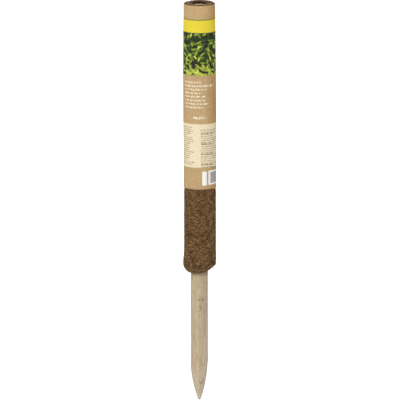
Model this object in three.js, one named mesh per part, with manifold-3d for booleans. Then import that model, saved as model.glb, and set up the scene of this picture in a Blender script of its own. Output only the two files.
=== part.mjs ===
// Moss pole: a coir mat stapled to a pointed wooden stake, rolled round it, bound with
// thread and dressed in a kraft paper sleeve that draws off over the top.
// Millimetres, +Z up. The origin is on the stake's axis, at the tip of its point.
import * as THREE from 'three';
import { mergeVertices } from 'three/addons/utils/BufferGeometryUtils.js';
import Module from 'manifold-3d';

const { clamp, degToRad, smoothstep } = THREE.MathUtils;
const FULL_TURN = 2 * Math.PI;

// Overall lengths
const POLE_LENGTH = 600; // from the tip of the stake to the top of the coir
const COIR_LENGTH = 406.5; // the roll, along the stake
const SLEEVE_LENGTH = 277.5; // the paper, down from the top of the coir

// Stake
const STAKE_DIAMETER = 25.5;
const STAKE_RECESS = 3; // from the top of the coir down to the sawn end
const STAKE_CHAMFER = 0.8; // round the sawn end
const POINT_LENGTH = 54;
const POINT_TIP_DIAMETER = 3.4; // the blunted tip
const POINT_BULGE = 1.8; // how far the cut swells out from a straight cone
const POINT_TILT = degToRad(-0.9); // the cut leans off the stake's axis, about Y

// Coir mat
const MAT_THICKNESS = 4.7;
const MAT_EDGE = 1.8; // what is left of the thickness at the combed-out edges
const MAT_TURNS = 2;
const MAT_GAP = 0.5; // between one turn and the next
const MAT_SEAM_ANGLE = degToRad(112); // where the outer edge lies, at the back
const SLEEVE_SQUEEZE = 0.9; // how much the sleeve draws the roll in, on the radius
const SLEEVE_TAPER = 0.6; // how much more it draws the roll in at the top
const SQUEEZE_LENGTH = 12; // the roll springs back over this length below the sleeve
const END_SWELL = 0.75; // the roll is slacker at its lower end, on the radius
const SWELL_LENGTH = 34;
const END_ROUND = 15; // height of the rounded lower end
const END_LIP = 0.8; // flat left round the stake under the rounded end
const TOP_ROUND = 0.8; // rounded rim at the top

// Binding thread
const THREAD_DIAMETER = 0.5;
const THREAD_TURNS = 21;
const THREAD_END_PITCH = 3; // the first and the last turn lie close
const THREAD_TOP_MARGIN = 9; // from the top of the coir
const THREAD_LOW_MARGIN = 5; // from the rounded lower end
const THREAD_START_ANGLE = degToRad(60);
const KNOT_LENGTH = 2.4;
const KNOT_HEIGHT = 1.6;
const KNOT_THICKNESS = 0.7;

// Staples
const STAPLE_COUNT = 4;
const STAPLE_CROWN = 10;
const STAPLE_LEG = 8;
const STAPLE_WIRE = 0.6; // thickness of the flat wire
const STAPLE_WIDTH = 0.9; // width of the flat wire
const STAPLE_INSET = 4.5; // the lowest one's place from the mat's inner edge, round the stake
const STAPLE_LEAN = 0.8; // each one stands this much further from the edge than the one below
const STAPLE_END_MARGIN = 36; // from each end of the coir

// Paper sleeve
const PAPER_THICKNESS = 0.4;
const PAPER_BELLY = 0.8; // how far the paper stands off the roll half way up
const PAPER_LAP = 14; // glued overlap
const PAPER_LAP_RAMP = 2.5; // where the outer layer climbs on to the inner one
const PAPER_LAP_ANGLE = degToRad(66); // free edge of the overlap, at the back

// Clearances
const FIT_GAP = 0.3; // between pieces that bear on each other
const SLEEVE_CLEARANCE = 0.3; // between the sleeve and the knots that it slides over

// Facets
const ROUND_SEGMENTS = 48; // round a full circle
const THREAD_STEPS = 30; // round a turn of thread
const THREAD_SIDES = 5;
const CURVE_STEPS = 8; // along a curved profile
const CORNER_STEPS = 3; // round the bend of a staple
const KNOT_FACETS = [12, 8]; // round a knot and from end to end
const SLEEVE_RINGS = 9; // from the sleeve's lower edge to its upper one
const MERGE_DISTANCE = 1e-4;
const STEP_SLACK = 1e-6; // keeps a whole number of steps whole

// Sizes that follow
const stakeRadius = STAKE_DIAMETER / 2;
const stakeTop = POLE_LENGTH - STAKE_RECESS;
const boreRadius = stakeRadius + FIT_GAP;
const matPitch = MAT_THICKNESS + MAT_GAP;
const squeezedRadius = boreRadius + 2 * MAT_EDGE + MAT_GAP + matPitch * (MAT_TURNS - 1);
const coirBottom = POLE_LENGTH - COIR_LENGTH;
const endTop = coirBottom + END_ROUND;
const sleeveBottom = POLE_LENGTH - SLEEVE_LENGTH;
const threadRadius = THREAD_DIAMETER / 2;
const boundHeight = FIT_GAP + Math.max(THREAD_DIAMETER, KNOT_THICKNESS); // what stands out of the roll

const wasm = await Module();
wasm.setup();

/** A closed geometry as a solid that can be joined and cut. */
function toSolid(geometry) {
  const bare = geometry.clone();
  bare.deleteAttribute('normal');
  bare.deleteAttribute('uv');
  const merged = mergeVertices(bare, MERGE_DISTANCE);
  const corners = merged.index.array;
  const kept = [];
  for (let i = 0; i < corners.length; i += 3) {
    const [a, b, c] = corners.slice(i, i + 3);
    if (a !== b && b !== c && c !== a) kept.push(a, b, c);
  }
  return new wasm.Manifold(new wasm.Mesh({
    numProp: 3,
    vertProperties: merged.attributes.position.array,
    triVerts: new Uint32Array(kept),
  }));
}

/** A solid as a geometry for a mesh. */
function toGeometry(solid) {
  const { vertProperties, triVerts } = solid.getMesh();
  const geometry = new THREE.BufferGeometry();
  geometry.setAttribute('position', new THREE.BufferAttribute(vertProperties, 3));
  geometry.setIndex(new THREE.BufferAttribute(triVerts, 1));
  geometry.computeVertexNormals();
  return geometry;
}

/** A solid of revolution about Z, from a profile of radius and height that runs upwards. */
function revolve(profile) {
  return new THREE.LatheGeometry(profile, ROUND_SEGMENTS).rotateX(Math.PI / 2);
}

/** The point at a radius and an angle about Z. */
function polar(radius, angle) {
  return new THREE.Vector2(radius * Math.cos(angle), radius * Math.sin(angle));
}

/** Values evenly spaced from one to another, both included. */
function spread(from, to, count) {
  return Array.from({ length: count }, (_, i) => from + ((to - from) * i) / Math.max(1, count - 1));
}

/** Angles from one to another, in steps that suit a round facet. */
function arcAngles(from, to) {
  const steps = Math.max(1, Math.ceil(Math.abs(to - from) / (FULL_TURN / ROUND_SEGMENTS) - STEP_SLACK));
  return spread(from, to, steps + 1);
}

/** Points along a curve whose radius changes with the angle turned through. */
function sweep(from, to, radiusAt, startAngle = 0) {
  return arcAngles(from, to).map((turned) => polar(radiusAt(turned), startAngle + turned));
}

/** A closed skin over rings of points that follow each other, its ends capped or joined. */
function loft(rings, joined = false) {
  const sides = rings[0].length;
  const faces = [];
  const spans = joined ? rings.length : rings.length - 1;
  for (let ring = 0; ring < spans; ring += 1) {
    const here = ring * sides;
    const there = ((ring + 1) % rings.length) * sides;
    for (let side = 0; side < sides; side += 1) {
      const next = (side + 1) % sides;
      faces.push(here + side, here + next, there + side);
      faces.push(here + next, there + next, there + side);
    }
  }
  if (!joined) {
    const last = spans * sides;
    for (let side = 1; side < sides - 1; side += 1) {
      faces.push(0, side + 1, side);
      faces.push(last, last + side, last + side + 1);
    }
  }
  const corners = rings.flat().flatMap((point) => point.toArray());
  const geometry = new THREE.BufferGeometry();
  geometry.setAttribute('position', new THREE.Float32BufferAttribute(corners, 3));
  geometry.setIndex(faces);
  geometry.computeVertexNormals();
  return geometry;
}

// Coir mat: the section of the roll

const rolledAngle = FULL_TURN * MAT_TURNS;
const matStartAngle = MAT_SEAM_ANGLE - rolledAngle;

/** Outer face of the mat, before the last turn, at an angle turned from its inner edge. */
function matFace(turned) {
  return boreRadius + MAT_EDGE + (matPitch * turned) / FULL_TURN;
}

/** How far up the sleeve a height is, from 0 at its lower edge to 1 at the top. */
function upSleeve(height) {
  return clamp((height - sleeveBottom) / SLEEVE_LENGTH, 0, 1);
}

/** Radius of the finished roll at a height, above its rounded lower end. */
function coirRadius(height) {
  const slack = 1 - smoothstep(height, sleeveBottom - SQUEEZE_LENGTH, sleeveBottom);
  const swell = 1 - smoothstep(height, endTop, endTop + SWELL_LENGTH);
  return squeezedRadius + SLEEVE_SQUEEZE * slack + END_SWELL * swell - SLEEVE_TAPER * upSleeve(height);
}

const rollLimit = squeezedRadius + SLEEVE_SQUEEZE + END_SWELL;

/** The spiral section of the roll. It hugs the stake inside and is round outside. */
function matSection() {
  const innerStep = MAT_GAP / boreRadius; // clears the inner edge, where the next turn climbs over it
  const outerStep = MAT_GAP / rollLimit; // clears the outer edge, where the last turn ends
  const onTurnBelow = (turned) => matFace(turned - FULL_TURN) + MAT_GAP;
  const lastTurn = rolledAngle - FULL_TURN + outerStep;
  return new THREE.Shape([
    ...sweep(0, FULL_TURN - innerStep, () => boreRadius, matStartAngle),
    ...sweep(FULL_TURN - innerStep, rolledAngle, onTurnBelow, matStartAngle),
    ...sweep(rolledAngle, lastTurn, () => 2 * rollLimit, matStartAngle),
    ...sweep(lastTurn, 0, matFace, matStartAngle),
  ]);
}

/** The outside of the roll: rounded and slack below, drawn in where the sleeve sits. */
function rollEnvelope() {
  const lipRadius = boreRadius + END_LIP;
  const endRadius = coirRadius(endTop);
  const roundedEnd = spread(0, Math.PI / 2, CURVE_STEPS).map((turned) => new THREE.Vector2(
    lipRadius + (endRadius - lipRadius) * Math.sin(turned),
    endTop - END_ROUND * Math.cos(turned),
  ));
  const rimBottom = POLE_LENGTH - TOP_ROUND;
  const wall = [
    ...spread(endTop, endTop + SWELL_LENGTH, CURVE_STEPS),
    ...spread(sleeveBottom - SQUEEZE_LENGTH, sleeveBottom, CURVE_STEPS),
  ].filter((height) => height > endTop && height < rimBottom).sort((a, b) => a - b);
  return revolve([
    new THREE.Vector2(0, coirBottom),
    ...roundedEnd,
    ...[...wall, rimBottom].map((height) => new THREE.Vector2(coirRadius(height), height)),
    new THREE.Vector2(coirRadius(POLE_LENGTH) - TOP_ROUND, POLE_LENGTH),
    new THREE.Vector2(0, POLE_LENGTH),
  ]);
}

// Staples: they hold the mat's inner edge to the stake

const stapleHeights = spread(coirBottom + STAPLE_END_MARGIN, POLE_LENGTH - STAPLE_END_MARGIN, STAPLE_COUNT);

/** An upright plate, its outline drawn with X outward and Y up. */
function uprightPlate(outline, thickness) {
  const plate = { depth: thickness, bevelEnabled: false, curveSegments: CORNER_STEPS };
  return new THREE.ExtrudeGeometry(outline, plate)
    .translate(0, 0, -thickness / 2)
    .rotateX(Math.PI / 2);
}

/** A staple with its crown upright and its chisel-ended legs pointing along -X. */
function stapleGeometry() {
  const outside = STAPLE_CROWN / 2;
  const inside = outside - STAPLE_WIRE;
  const chisel = STAPLE_WIRE - STAPLE_LEG;
  const middle = (outside + inside) / 2;
  const outline = new THREE.Shape();
  outline.moveTo(0, -inside);
  outline.lineTo(chisel, -inside);
  outline.lineTo(-STAPLE_LEG, -middle);
  outline.lineTo(chisel, -outside);
  outline.lineTo(0, -outside);
  outline.quadraticCurveTo(STAPLE_WIRE, -outside, STAPLE_WIRE, -inside);
  outline.lineTo(STAPLE_WIRE, inside);
  outline.quadraticCurveTo(STAPLE_WIRE, outside, 0, outside);
  outline.lineTo(chisel, outside);
  outline.lineTo(-STAPLE_LEG, middle);
  outline.lineTo(chisel, inside);
  outline.lineTo(0, inside);
  return uprightPlate(outline, STAPLE_WIDTH);
}

/** The square-cornered slot that a staple lies in. */
function stapleSlot() {
  const outside = STAPLE_CROWN / 2 + FIT_GAP;
  const inside = STAPLE_CROWN / 2 - STAPLE_WIRE - FIT_GAP;
  const crown = STAPLE_WIRE + FIT_GAP;
  const legEnd = -STAPLE_LEG - FIT_GAP;
  const outline = new THREE.Shape();
  outline.moveTo(-FIT_GAP, -inside);
  outline.lineTo(legEnd, -inside);
  outline.lineTo(legEnd, -outside);
  outline.lineTo(crown, -outside);
  outline.lineTo(crown, outside);
  outline.lineTo(legEnd, outside);
  outline.lineTo(legEnd, inside);
  outline.lineTo(-FIT_GAP, inside);
  return uprightPlate(outline, STAPLE_WIDTH + 2 * FIT_GAP);
}

/** Puts a staple, or the stand-in for its slot, in the row, its crown flush with the mat's first turn. */
function placeStaple(object, index) {
  const turned = (STAPLE_INSET + STAPLE_LEAN * index) / boreRadius;
  const angle = matStartAngle + turned;
  object.position.set(...polar(matFace(turned) - STAPLE_WIRE, angle), stapleHeights[index]);
  object.rotation.z = angle;
  object.updateMatrix();
  return object;
}

/** The slots that the staples make in the mat and the stake. */
function stapleSlots() {
  return stapleHeights.map((_, index) => {
    const { matrix } = placeStaple(new THREE.Object3D(), index);
    return toSolid(stapleSlot().applyMatrix4(matrix));
  });
}

const slots = stapleSlots();

/** The rolled mat, trimmed to its outside and pierced by the staples. */
function coirMat() {
  const overrun = STAKE_DIAMETER; // the envelope trims both ends
  const roll = new THREE.ExtrudeGeometry(matSection(), {
    depth: COIR_LENGTH + 2 * overrun,
    bevelEnabled: false,
  }).translate(0, 0, coirBottom - overrun);
  const trimmed = toSolid(roll).intersect(toSolid(rollEnvelope()));
  return toGeometry(slots.reduce((mat, slot) => mat.subtract(slot), trimmed));
}

// Stake

/** The round stake, sawn off square at both ends. */
function stakeBlank() {
  return revolve([
    new THREE.Vector2(0, 0),
    new THREE.Vector2(stakeRadius, 0),
    new THREE.Vector2(stakeRadius, stakeTop - STAKE_CHAMFER),
    new THREE.Vector2(stakeRadius - STAKE_CHAMFER, stakeTop),
    new THREE.Vector2(0, stakeTop),
  ]);
}

/** What the cutter leaves of the blank: a bulging cone from the tip, and all of the shaft. */
function pointCut() {
  const tip = new THREE.Vector2(POINT_TIP_DIAMETER / 2, 0);
  const shoulder = new THREE.Vector2(stakeRadius, POINT_LENGTH);
  const along = shoulder.clone().sub(tip).normalize();
  const outward = new THREE.Vector2(along.y, -along.x);
  const control = tip.clone().lerp(shoulder, 0.5).addScaledVector(outward, 2 * POINT_BULGE);
  const curve = new THREE.QuadraticBezierCurve(tip, control, shoulder);
  const runOut = shoulder.clone().addScaledVector(curve.getTangent(1), POINT_LENGTH / 2);
  const clear = 2 * STAKE_DIAMETER;
  return revolve([
    new THREE.Vector2(0, -POINT_TIP_DIAMETER),
    new THREE.Vector2(tip.x, -POINT_TIP_DIAMETER),
    ...curve.getPoints(CURVE_STEPS),
    runOut,
    new THREE.Vector2(clear, runOut.y),
    new THREE.Vector2(clear, POLE_LENGTH),
    new THREE.Vector2(0, POLE_LENGTH),
  ]).rotateY(POINT_TILT);
}

/** The pointed stake, with the slots that the staples made. */
function woodenStake() {
  const pointed = toSolid(stakeBlank()).intersect(toSolid(pointCut()));
  return toGeometry(slots.reduce((stake, slot) => stake.subtract(slot), pointed));
}

// Binding thread

/** Centre of the thread at each step of its winding, from the lower knot to the upper one. */
function threadRoute() {
  const low = endTop + THREAD_LOW_MARGIN;
  const high = POLE_LENGTH - THREAD_TOP_MARGIN;
  // One close turn and one opening turn at each end, and an even pitch between them.
  const openTurns = THREAD_TURNS - 3;
  const openPitch = (high - low - THREAD_END_PITCH * THREAD_TURNS) / openTurns;
  const steps = Math.round(THREAD_TURNS * THREAD_STEPS);
  const route = [];
  let height = low;
  for (let i = 0; i <= steps; i += 1) {
    const turn = (THREAD_TURNS * i) / steps;
    const fromEnd = Math.min(turn, THREAD_TURNS - turn);
    const radius = coirRadius(height) + FIT_GAP + threadRadius;
    route.push(new THREE.Vector3(...polar(radius, THREAD_START_ANGLE + FULL_TURN * turn), height));
    height += ((THREAD_END_PITCH + openPitch * smoothstep(fromEnd, 1, 2)) * THREAD_TURNS) / steps;
  }
  return route;
}

/** Least clear distance between two stretches of the thread that are at least half a turn apart. */
function leastGap(route) {
  let least = Infinity;
  route.forEach((point, i) => {
    for (let j = i + Math.floor(THREAD_STEPS / 2); j < route.length; j += 1) {
      least = Math.min(least, point.distanceTo(route[j]));
    }
  });
  return least - THREAD_DIAMETER;
}

/** A closed tube along a route that winds round Z. */
function windingTube(route) {
  return loft(route.map((point, i) => {
    const before = route[Math.max(i - 1, 0)];
    const after = route[Math.min(i + 1, route.length - 1)];
    const along = after.clone().sub(before).normalize();
    const outward = new THREE.Vector3(point.x, point.y, 0).normalize();
    const across = new THREE.Vector3().crossVectors(along, outward).normalize();
    return Array.from({ length: THREAD_SIDES }, (_, side) => {
      const turned = (FULL_TURN * side) / THREAD_SIDES;
      return point.clone()
        .addScaledVector(outward, threadRadius * Math.cos(turned))
        .addScaledVector(across, threadRadius * Math.sin(turned));
    });
  }));
}

/** A flat knot at one end of the thread, lying along it and bearing on the roll as the thread does. */
function knotAt(point) {
  const radius = coirRadius(point.z) + FIT_GAP + KNOT_THICKNESS / 2;
  return new THREE.SphereGeometry(1, ...KNOT_FACETS)
    .scale(KNOT_THICKNESS / 2, KNOT_LENGTH / 2, KNOT_HEIGHT / 2)
    .translate(radius, 0, point.z)
    .rotateZ(Math.atan2(point.y, point.x));
}

/** The thread in one piece, knotted off at both ends. */
function bindingThread() {
  const route = threadRoute();
  console.log(`least gap between turns of the binding thread: ${leastGap(route).toFixed(2)} mm`);
  const knots = [route[0], route[route.length - 1]].map((end) => toSolid(knotAt(end)));
  return toGeometry(knots.reduce((thread, knot) => thread.add(knot), toSolid(windingTube(route))));
}

// Paper sleeve

/** Radius of the inside of the sleeve at a height: it clears the bound roll and bellies out half way up. */
function paperRadius(height) {
  const belly = PAPER_BELLY * Math.sin(Math.PI * upSleeve(height));
  return coirRadius(height) + boundHeight + SLEEVE_CLEARANCE + belly;
}

/** A sheet rolled into a tube, one edge glued over the other. */
function paperSleeve() {
  const outside = paperRadius(sleeveBottom) + PAPER_THICKNESS;
  const lap = PAPER_LAP / outside;
  const ramp = PAPER_LAP_RAMP / outside;
  const cutEdge = PAPER_THICKNESS / outside; // the free edge is cut on the slant
  const heights = spread(sleeveBottom, POLE_LENGTH, SLEEVE_RINGS);
  const ringAt = (turned, layers) => {
    const pointAt = (height, thickness) => new THREE.Vector3(
      ...polar(paperRadius(height) + thickness, PAPER_LAP_ANGLE + turned),
      height,
    );
    return [
      ...heights.toReversed().map((height) => pointAt(height, layers * PAPER_THICKNESS)),
      ...heights.map((height) => pointAt(height, 0)),
    ];
  };
  return loft([
    ...arcAngles(0, lap).map((turned) => ringAt(turned, 2)),
    ...arcAngles(lap + ramp, FULL_TURN - cutEdge).map((turned) => ringAt(turned, 1)),
  ], true);
}

// Finishes
const wood = new THREE.MeshStandardMaterial({ color: 0xbaa788, roughness: 0.75, metalness: 0 });
const coir = new THREE.MeshStandardMaterial({ color: 0x674e33, roughness: 0.95, metalness: 0 });
const nylon = new THREE.MeshStandardMaterial({ color: 0x9c8765, roughness: 0.35, metalness: 0 });
const steel = new THREE.MeshStandardMaterial({ color: 0xa8a8a4, roughness: 0.35, metalness: 1 });
const kraft = new THREE.MeshStandardMaterial({ color: 0xc6a779, roughness: 0.8, metalness: 0 });

/** A named piece of the pole. */
function piece(name, geometry, material) {
  const mesh = new THREE.Mesh(geometry, material);
  mesh.name = name;
  return mesh;
}

const mossPole = new THREE.Group();
mossPole.add(piece('wooden_stake', woodenStake(), wood));
mossPole.add(piece('coir_mat', coirMat(), coir));
mossPole.add(piece('binding_thread', bindingThread(), nylon));
stapleHeights.forEach((_, index) => {
  mossPole.add(placeStaple(piece(`staple_${index + 1}`, stapleGeometry(), steel), index));
});
mossPole.add(piece('paper_sleeve', paperSleeve(), kraft));

export default mossPole;
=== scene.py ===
"""Looks of a moss pole: a pointed stake, a roll of coir bound with thread, and a printed kraft sleeve.

Every piece is in metres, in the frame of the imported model: the origin is at the tip of the stake's point,
+Z runs up the stake and -Y is the printed front.
"""
from __future__ import annotations

import logging
import math
from dataclasses import asdict, dataclass, field
from enum import Enum
from types import SimpleNamespace
from typing import Mapping, Optional, Sequence, Union

import bmesh
import bpy
import numpy as np
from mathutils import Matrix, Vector, noise


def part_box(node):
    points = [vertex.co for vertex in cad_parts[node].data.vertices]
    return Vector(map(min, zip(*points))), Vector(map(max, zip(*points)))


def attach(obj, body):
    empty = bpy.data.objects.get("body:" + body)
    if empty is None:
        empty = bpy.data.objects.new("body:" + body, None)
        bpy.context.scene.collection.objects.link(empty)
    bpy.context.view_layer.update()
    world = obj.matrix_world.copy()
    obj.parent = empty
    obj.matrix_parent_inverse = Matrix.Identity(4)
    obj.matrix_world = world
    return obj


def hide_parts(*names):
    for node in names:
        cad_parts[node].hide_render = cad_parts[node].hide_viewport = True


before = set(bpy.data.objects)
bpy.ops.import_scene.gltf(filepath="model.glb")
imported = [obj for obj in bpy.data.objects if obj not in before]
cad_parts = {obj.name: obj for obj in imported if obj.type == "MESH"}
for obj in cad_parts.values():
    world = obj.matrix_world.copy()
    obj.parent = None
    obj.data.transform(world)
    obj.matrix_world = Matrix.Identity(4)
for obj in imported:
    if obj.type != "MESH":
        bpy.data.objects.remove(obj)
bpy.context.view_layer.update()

LOG = logging.getLogger("moss_pole")
MM = 0.001
FULL_TURN = 2 * math.pi
ORIGIN = (0.0, 0.0, 0.0)

Array = np.ndarray
Number = Union[float, np.ndarray]
Pair = tuple[float, float]
Triple = tuple[float, float, float]
Piece = bpy.types.Object
Feed = Union[float, Sequence[float], "Value"]
Inputs = Mapping[Union[str, int], Feed]


class Body(Enum):
    """The bodies that pieces ride on."""

    POLE = "pole"
    SLEEVE = "sleeve"


class Slot(Enum):
    """The record's material slots."""

    WOOD = "stake_wood"
    COIR = "coir"
    THREAD = "thread"
    PAPER = "sleeve_paper"


# Small helpers


def smooth_rise(value: Number, low: float, high: float) -> Number:
    """Rises smoothly from 0, where the value is low, to 1, where it is high."""
    t = np.clip((value - low) / (high - low), 0.0, 1.0)
    return t * t * (3.0 - 2.0 * t)


def uneven(x: float, y: float, z: float) -> float:
    """Smooth noise from about -1 to 1 that is the same on each run."""
    return noise.noise(Vector((x, y, z)))


def rgb(*levels: int) -> Triple:
    """Turns a screen colour of 0 to 255 into the linear colour that a shader takes."""
    parts = [level / 255.0 for level in levels]
    return tuple(part / 12.92 if part <= 0.04045 else ((part + 0.055) / 1.055) ** 2.4 for part in parts)


def upright_edges(bm: bmesh.types.BMesh) -> list[bmesh.types.BMEdge]:
    """The edges that run up a block or a prism."""
    return [edge for edge in bm.edges if abs(edge.verts[0].co.z - edge.verts[1].co.z) > 0.5]


def mesh_from(name: str, bm: bmesh.types.BMesh) -> bpy.types.Mesh:
    """Turns a bmesh into a mesh and frees the bmesh.

    Args:
        name: The mesh's name.
        bm: The finished shape.

    Returns:
        The new mesh.
    """
    mesh = bpy.data.meshes.new(name)
    bm.to_mesh(mesh)
    bm.free()
    return mesh


def add_object(name: str, mesh: bpy.types.Mesh, sharp_angle: Optional[float] = None) -> Piece:
    """Puts a smooth-shaded mesh into the scene as an object at the origin.

    Args:
        name: The piece's name.
        mesh: Its shape.
        sharp_angle: Edges that bend more than this, in radians, are shaded sharp.

    Returns:
        The new object.
    """
    mesh.shade_smooth()
    if sharp_angle is not None:
        mesh.set_sharp_from_angle(angle=sharp_angle)
    obj = bpy.data.objects.new(name, mesh)
    bpy.context.scene.collection.objects.link(obj)
    return obj


def seat(obj: Piece, body: Body, slot: Slot, finishes: Sequence[Finish], *replaced: str) -> None:
    """Dresses a piece, lets it ride on its body and hides the nodes that it stands for.

    Args:
        obj: The finished shape.
        body: The body that it moves with.
        slot: The record's material slot of its finish; not used.
        finishes: Its finishes, in the order of its material numbers.
        replaced: The nodes that it replaces.
    """
    for finish in finishes:
        obj.data.materials.append(finish.material)
    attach(obj, body.value)
    if replaced:
        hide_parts(*replaced)
    LOG.info("%s: %d faces on %s", obj.name, len(obj.data.polygons), body.value)


@dataclass(frozen=True)
class Waves:
    """Unevenness of a round piece: its height, how fine it is round the axis, and its length up the axis."""

    height: float
    fineness: float
    length: float

    def at(self, x: float, y: float, z: float) -> float:
        """The unevenness in the direction of x and y, at the height z."""
        return self.height * uneven(self.fineness * x, self.fineness * y, z / self.length)


# Node graphs


class Value:
    """An output in a node tree. Sums and products of values add the Math nodes that work them out."""

    def __init__(self, graph: Graph, socket: bpy.types.NodeSocket) -> None:
        """Keeps the socket and the graph that it belongs to."""
        self.graph = graph
        self.socket = socket

    def __add__(self, other: Feed) -> Value:
        """Adds another value."""
        return self.graph.math("ADD", self, other)

    def __sub__(self, other: Feed) -> Value:
        """Takes another value away."""
        return self.graph.math("SUBTRACT", self, other)

    def __rsub__(self, other: float) -> Value:
        """Takes this value away from a number."""
        return self.graph.math("SUBTRACT", other, self)

    def __mul__(self, other: Feed) -> Value:
        """Multiplies by another value."""
        return self.graph.math("MULTIPLY", self, other)

    def __truediv__(self, other: Feed) -> Value:
        """Divides by another value."""
        return self.graph.math("DIVIDE", self, other)

    __radd__ = __add__

    def clamped(self) -> Value:
        """Keeps the sum that makes this value between 0 and 1."""
        self.socket.node.use_clamp = True
        return self

    def rise(self, low: Feed, high: Feed, start: float = 0.0, end: float = 1.0) -> Value:
        """Rises smoothly from start, where this value is low, to end, where it is high."""
        inputs = {0: self, 1: low, 2: high, 3: start, 4: end}
        return self.graph.value("MapRange", inputs, interpolation_type="SMOOTHSTEP")

    def ramp(self, *stops: tuple[float, Triple]) -> Value:
        """Looks a colour up on a ramp.

        Args:
            stops: The place and the screen colour of each stop.

        Returns:
            The colour.
        """
        ramp = self.graph.value("ValToRGB", {0: self})
        elements = ramp.socket.node.color_ramp.elements
        while len(elements) < len(stops):
            elements.new(1.0)
        for element, (place, colour) in zip(elements, stops):
            element.position = place
            element.color = (*rgb(*colour), 1.0)
        return ramp

    def split(self) -> tuple[Value, ...]:
        """Gives the X, Y and Z of a vector."""
        return tuple(Value(self.graph, part) for part in self.graph.add("SeparateXYZ", {0: self}).outputs)


class Graph:
    """Adds nodes to one node tree and wires them."""

    def __init__(self, tree: bpy.types.NodeTree) -> None:
        """Takes a tree and empties it."""
        self.tree = tree
        tree.nodes.clear()

    def feed(self, node: bpy.types.Node, inputs: Inputs) -> None:
        """Links values to a node's inputs, or sets the inputs' own values.

        Args:
            node: A node of this tree.
            inputs: What goes into each input that isn't left as it is.
        """
        for name, value in inputs.items():
            socket = node.inputs[name]
            if isinstance(value, Value):
                self.tree.links.new(value.socket, socket)
            elif socket.type == "RGBA":
                socket.default_value = (*value, 1.0)
            else:
                socket.default_value = value

    def add(self, kind: str, inputs: Optional[Inputs] = None, **settings: object) -> bpy.types.Node:
        """Adds one shader node.

        Args:
            kind: The node's type, without the words that every type starts with.
            inputs: What goes into each input that isn't left as it is.
            settings: The node's own settings.

        Returns:
            The new node.
        """
        node = self.tree.nodes.new("ShaderNode" + kind)
        for name, value in settings.items():
            setattr(node, name, value)
        self.feed(node, inputs or {})
        return node

    def value(self, kind: str, inputs: Optional[Inputs] = None, output: Union[str, int] = 0,
              **settings: object) -> Value:
        """Adds one shader node and gives one of its outputs."""
        return Value(self, self.add(kind, inputs, **settings).outputs[output])

    def math(self, operation: str, *values: Feed) -> Value:
        """Adds a Math node."""
        return self.value("Math", dict(enumerate(values)), operation=operation)

    def vector(self, operation: str, *values: Feed, output: str = "Vector") -> Value:
        """Adds a Vector Math node."""
        return self.value("VectorMath", dict(enumerate(values)), output, operation=operation)

    def mix(self, share: Feed, first: Feed, second: Feed, blend: str = "MIX") -> Value:
        """Mixes two colours. The share is the second one's, which lies over the first."""
        inputs = {0: share, 6: first, 7: second}
        return self.value("Mix", inputs, 2, data_type="RGBA", blend_type=blend)

    def join(self, x: Feed, y: Feed) -> Value:
        """Makes a vector of two values."""
        return self.value("CombineXYZ", {0: x, 1: y})

    def effect(self, name: str, **inputs: Feed) -> list[Value]:
        """Places a shared node group.

        Args:
            name: The group's name.
            inputs: What goes into its inputs.

        Returns:
            Its outputs.
        """
        titled = {socket.title(): value for socket, value in inputs.items()}
        node = self.add("Group", titled, node_tree=bpy.data.node_groups[name])
        return [Value(self, socket) for socket in node.outputs]


class Effect(Graph):
    """A shader node group that finishes share. The script names its sockets in small letters."""

    def __init__(self, name: str, outputs: Sequence[str], **inputs: Union[float, Triple]) -> None:
        """Makes the group with its sockets.

        Args:
            name: The group's name.
            outputs: The names of the numbers that it gives.
            inputs: The first value of each input, a number or a vector.
        """
        super().__init__(bpy.data.node_groups.new(name, "ShaderNodeTree"))
        new_socket = self.tree.interface.new_socket
        for socket, value in inputs.items():
            kind = "NodeSocketFloat" if isinstance(value, float) else "NodeSocketVector"
            new_socket(socket.title(), in_out="INPUT", socket_type=kind).default_value = value
        for socket in outputs:
            new_socket(socket.title(), in_out="OUTPUT", socket_type="NodeSocketFloat")
        given = self.tree.nodes.new("NodeGroupInput").outputs
        self.given = SimpleNamespace(**{socket: Value(self, given[socket.title()]) for socket in inputs})
        self.result = self.tree.nodes.new("NodeGroupOutput")

    def give(self, *values: Value) -> None:
        """Feeds the group's outputs in their order."""
        self.feed(self.result, dict(enumerate(values)))


def make_mottle() -> None:
    """Cloudy patches of any scale, sharpened between two levels."""
    effect = Effect("Mottle", ["value"], vector=ORIGIN, scale=100.0, detail=3.0, low=0.35, high=0.65)
    given = effect.given
    cloud = effect.value("TexNoise", {"Vector": given.vector, "Scale": given.scale, "Detail": given.detail,
                                      "Roughness": 0.6})
    effect.give(cloud.rise(given.low, given.high))


def make_streaks() -> None:
    """Long thin streaks: noise drawn out by a stretch along each axis."""
    effect = Effect("Fibre streaks", ["value"], vector=ORIGIN, stretch=(1.0, 1.0, 1.0), warp=0.0, low=0.3,
                    high=0.7)
    given = effect.given
    drawn = effect.vector("MULTIPLY", given.vector, given.stretch)
    cloud = effect.value("TexNoise", {"Vector": drawn, "Scale": 1.0, "Detail": 4.0, "Roughness": 0.65,
                                      "Distortion": given.warp})
    effect.give(cloud.rise(given.low, given.high))


def make_painted_hollow_shade() -> None:
    """A mask of painted shade for the coir next to the stake: 1 at the stake and 0 further out."""
    inner, outer = 13 * MM, 17 * MM
    effect = Effect("Hollow", ["value"], vector=ORIGIN)
    level = effect.vector("MULTIPLY", effect.given.vector, (1.0, 1.0, 0.0))
    effect.give(effect.vector("LENGTH", level, output="Value").rise(outer, inner))


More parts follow.
